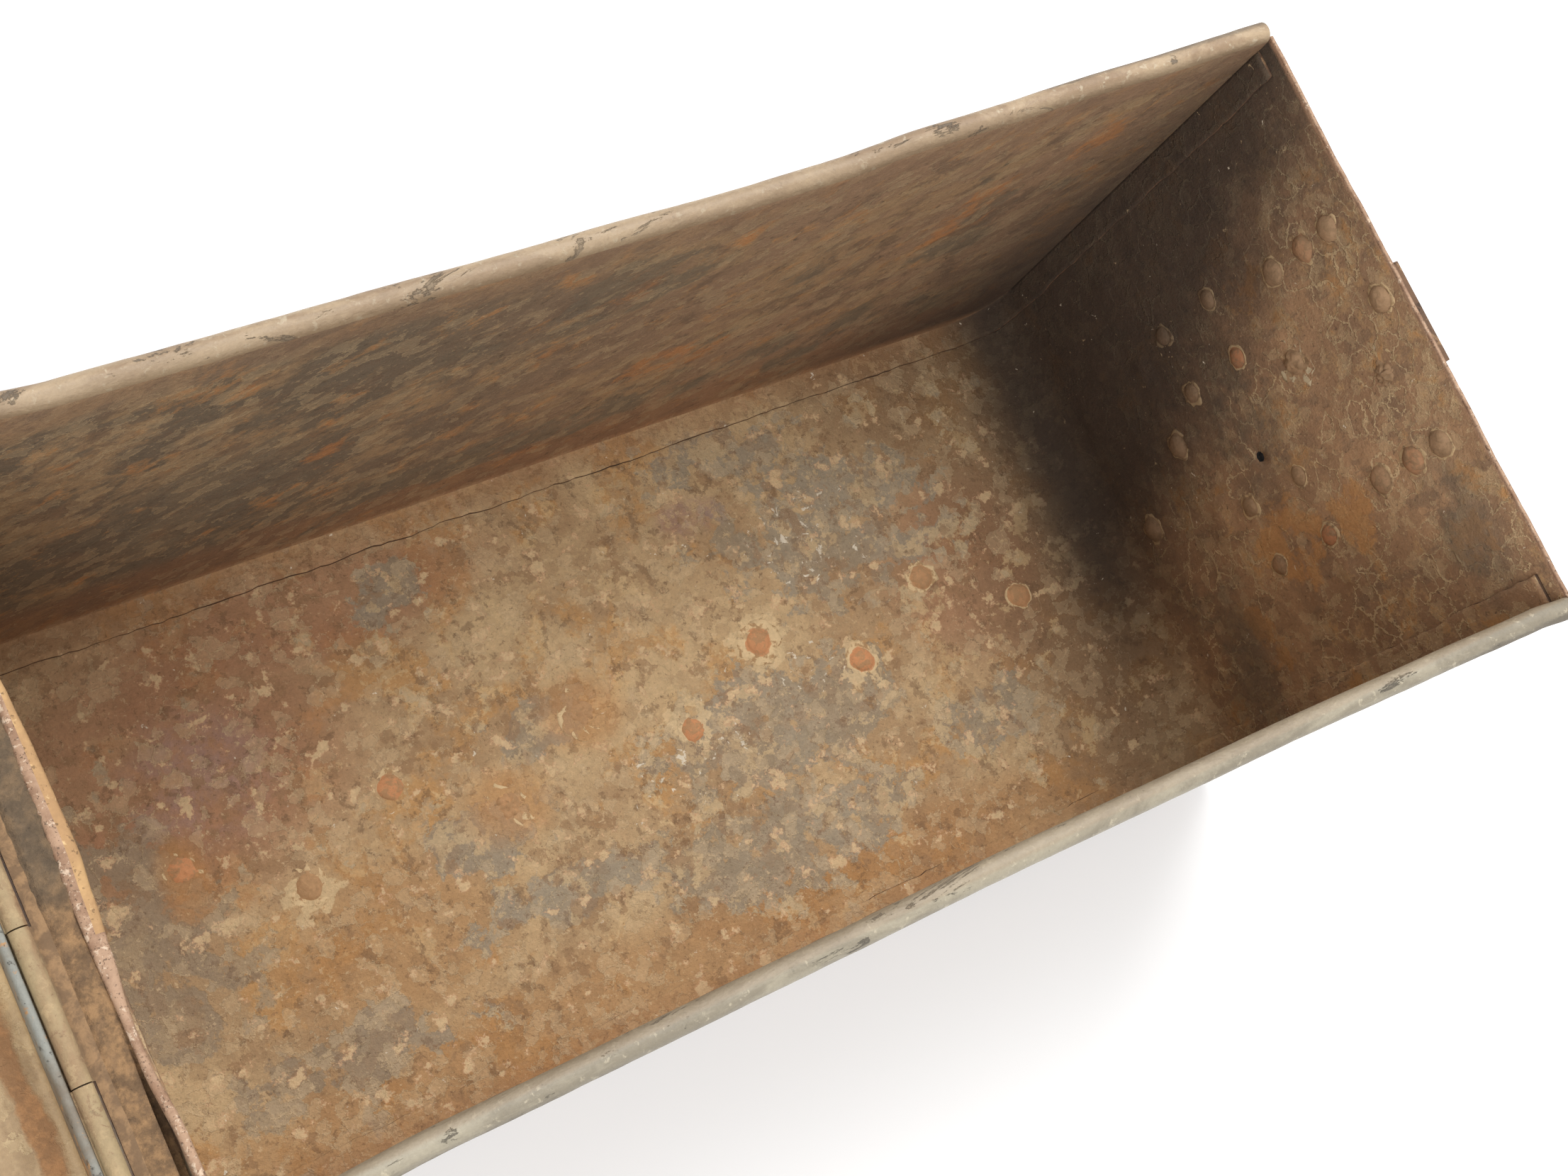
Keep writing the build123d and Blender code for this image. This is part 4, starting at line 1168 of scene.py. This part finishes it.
def build_lid():
    cx = (lid_lo[0] + lid_hi[0]) / 2
    hx = (lid_hi[0] - lid_lo[0]) / 2
    hy = lid_hi[1] - 0.05 * MM
    corner = 11.0 * MM
    low, high = lid_lo[2], lid_hi[2]

    def outline(inset, scale):
        """A rounded rectangle, always the same number of points."""
        a, b, r = hx - inset, hy - inset, max(corner - inset, 0.5 * MM)
        points = []
        corners = ((1, 1), (-1, 1), (-1, -1), (1, -1))
        for k, (sx, sy) in enumerate(corners):
            ox, oy = sx * (a - r), sy * (b - r)
            for t in spread(k * math.pi / 2, (k + 1) * math.pi / 2, math.pi / 14):
                points.append((ox + r * math.cos(t), oy + r * math.sin(t)))
            nx, ny = corners[(k + 1) % 4]
            end = points[-1]
            start = (nx * (a - r), ny * b) if k % 2 == 0 else (nx * a, ny * (b - r))
            runs = 62 if k % 2 == 0 else 30
            for i in range(1, runs):
                f = i / runs
                points.append((end[0] + (start[0] - end[0]) * f, end[1] + (start[1] - end[1]) * f))
        return [(cx + x * scale, y * scale) for x, y in points]

    half = SHEET / 2
    press = 2.6 * MM
    profile = [(half * 3 + 0.1 * MM, z, 1.0, HEM) for z in spread(high - 8 * MM, high - 1.3 * MM, 1.6 * MM)]
    for part, down in ((2.6, 0.75), (1.5, 0.62), (1.05, 1.3)):
        profile.append((half * part, high - down * MM, 1.0, HEM))
    profile += [(half, z, 1.0, 0) for z in spread(high - 3 * MM, low + half + press, 2.4 * MM)]
    for a in spread(0, math.pi / 2, math.pi / 12)[1:]:
        profile.append((half + press * (1 - math.cos(a)), low + half + press * (1 - math.sin(a)), 1.0, 0))
    shrink = [0.985, 0.965, 0.94, 0.91, 0.88, 0.84, 0.8, 0.75, 0.7, 0.64, 0.58]
    shrink += [0.5, 0.42, 0.34, 0.26, 0.18, 0.1, 0.04]
    profile += [(half + press, low + half, scale, 0) for scale in shrink]
    verts, index = [], []
    for inset, z, scale, slot in profile:
        ring = outline(inset, scale)
        count = len(ring)
        for x, y in ring:
            flat = smooth((1 - scale) / 0.08)
            dent = 0.55 + 0.55 * rough(x, y, 0, 75 * MM, 2.0) + 0.25 * rough(x, y, 0, 22 * MM, 5.0)
            dent *= flat
            ding = 0.25 * rough(x, y, z, 30 * MM, 9.0) * (1 - flat)
            verts.append(Vector((x, y - math.copysign(max(0.0, ding) * MM, y), z + dent * MM)))
        index += [slot] * count
    rows = len(profile)
    faces = grid_faces(rows, count, loop=True)
    index = index[: len(faces)]
    last = (rows - 1) * count
    faces.append(tuple(range(last, last + count)))
    index.append(0)
    piece = make("lid", verts, faces, "lid", [LID_PAINT, OUTER, EDGE, LID_HEM, LID_HEM, EDGE], index)
    thicken(piece, SHEET)
    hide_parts("lid_pan")


build_wrap()
for side in (1, -1):
    build_side(side)
    build_wire(side)
build_strap()
for seed, node in enumerate(("strap", "latch", "bracket", "hinge_body"), 11):
    build_rivets(node + "_rivets", "box", seed)
for seed, node in enumerate(("hinge_lid", "catch"), 15):
    build_rivets(node + "_rivets", "lid", seed)
build_dirt()
build_lid()

# ---- the CAD pieces that keep their shape
KEPT = {"hinge_body_leaf": LEAF, "hinge_lid_leaf": LEAF, "hinge_pin": WIRE}
for node, piece in NODES.items():
    if not piece.hide_render:
        piece.data.materials.clear()
        piece.data.materials.append(KEPT.get(node, FITTING))


# ---- studio
def area(name, where, aim, width, power):
    light = bpy.data.lights.new(name, "AREA")
    light.shape = "SQUARE"
    light.size = width
    light.energy = power
    lamp = bpy.data.objects.new(name, light)
    lamp.location = where
    lamp.rotation_euler = (Vector(aim) - Vector(where)).to_track_quat("-Z", "Y").to_euler()
    bpy.context.scene.collection.objects.link(lamp)


def plain(name, colour, glow):
    material = bpy.data.materials.new(name)
    material.use_nodes = True
    bsdf = material.node_tree.nodes["Principled BSDF"]
    bsdf.inputs["Base Color"].default_value = colour
    bsdf.inputs["Roughness"].default_value = 0.9
    bsdf.inputs["Emission Color"].default_value = (1, 1, 1, 1)
    bsdf.inputs["Emission Strength"].default_value = glow
    return material


floor_mesh = bpy.data.meshes.new("studio_floor")
floor_mesh.from_pydata([(-9, -9, 0), (9, -9, 0), (9, 9, 0), (-9, 9, 0)], [], [(0, 1, 2, 3)])
floor_mesh.materials.append(plain("studio_white", (0.86, 0.86, 0.86, 1), 0.10))
floor = bpy.data.objects.new("studio_floor", floor_mesh)
bpy.context.scene.collection.objects.link(floor)

area("key", (0.6, 0.6, 1.75), (0.0, 0.0, 0.0), 0.9, 26)
area("fill", (-0.9, -1.2, 1.7), (0.0, 0.0, 0.1), 1.3, 24)
world = bpy.data.worlds.new("studio")
world.use_nodes = True
world.node_tree.nodes["Background"].inputs["Color"].default_value = (1, 1, 1, 1)
world.node_tree.nodes["Background"].inputs["Strength"].default_value = 0.75
bpy.context.scene.world = world
bpy.context.scene.view_settings.view_transform = "Standard"

# ---- camera
camera = bpy.data.cameras.new("camera")
camera.lens = 53.66
camera.sensor_width = 36.0
camera.clip_start = 0.01
eye = bpy.data.objects.new("camera", camera)
eye.location = (-0.3240, -0.1061, 0.7954)
RIGHT = Vector((0.83004, -0.42578, 0.36020))
UP = Vector((0.32064, 0.89278, 0.31644))
BACK = RIGHT.cross(UP)
eye.rotation_euler = Matrix((RIGHT, UP, BACK)).transposed().to_euler()
bpy.context.scene.collection.objects.link(eye)
bpy.context.scene.camera = eye
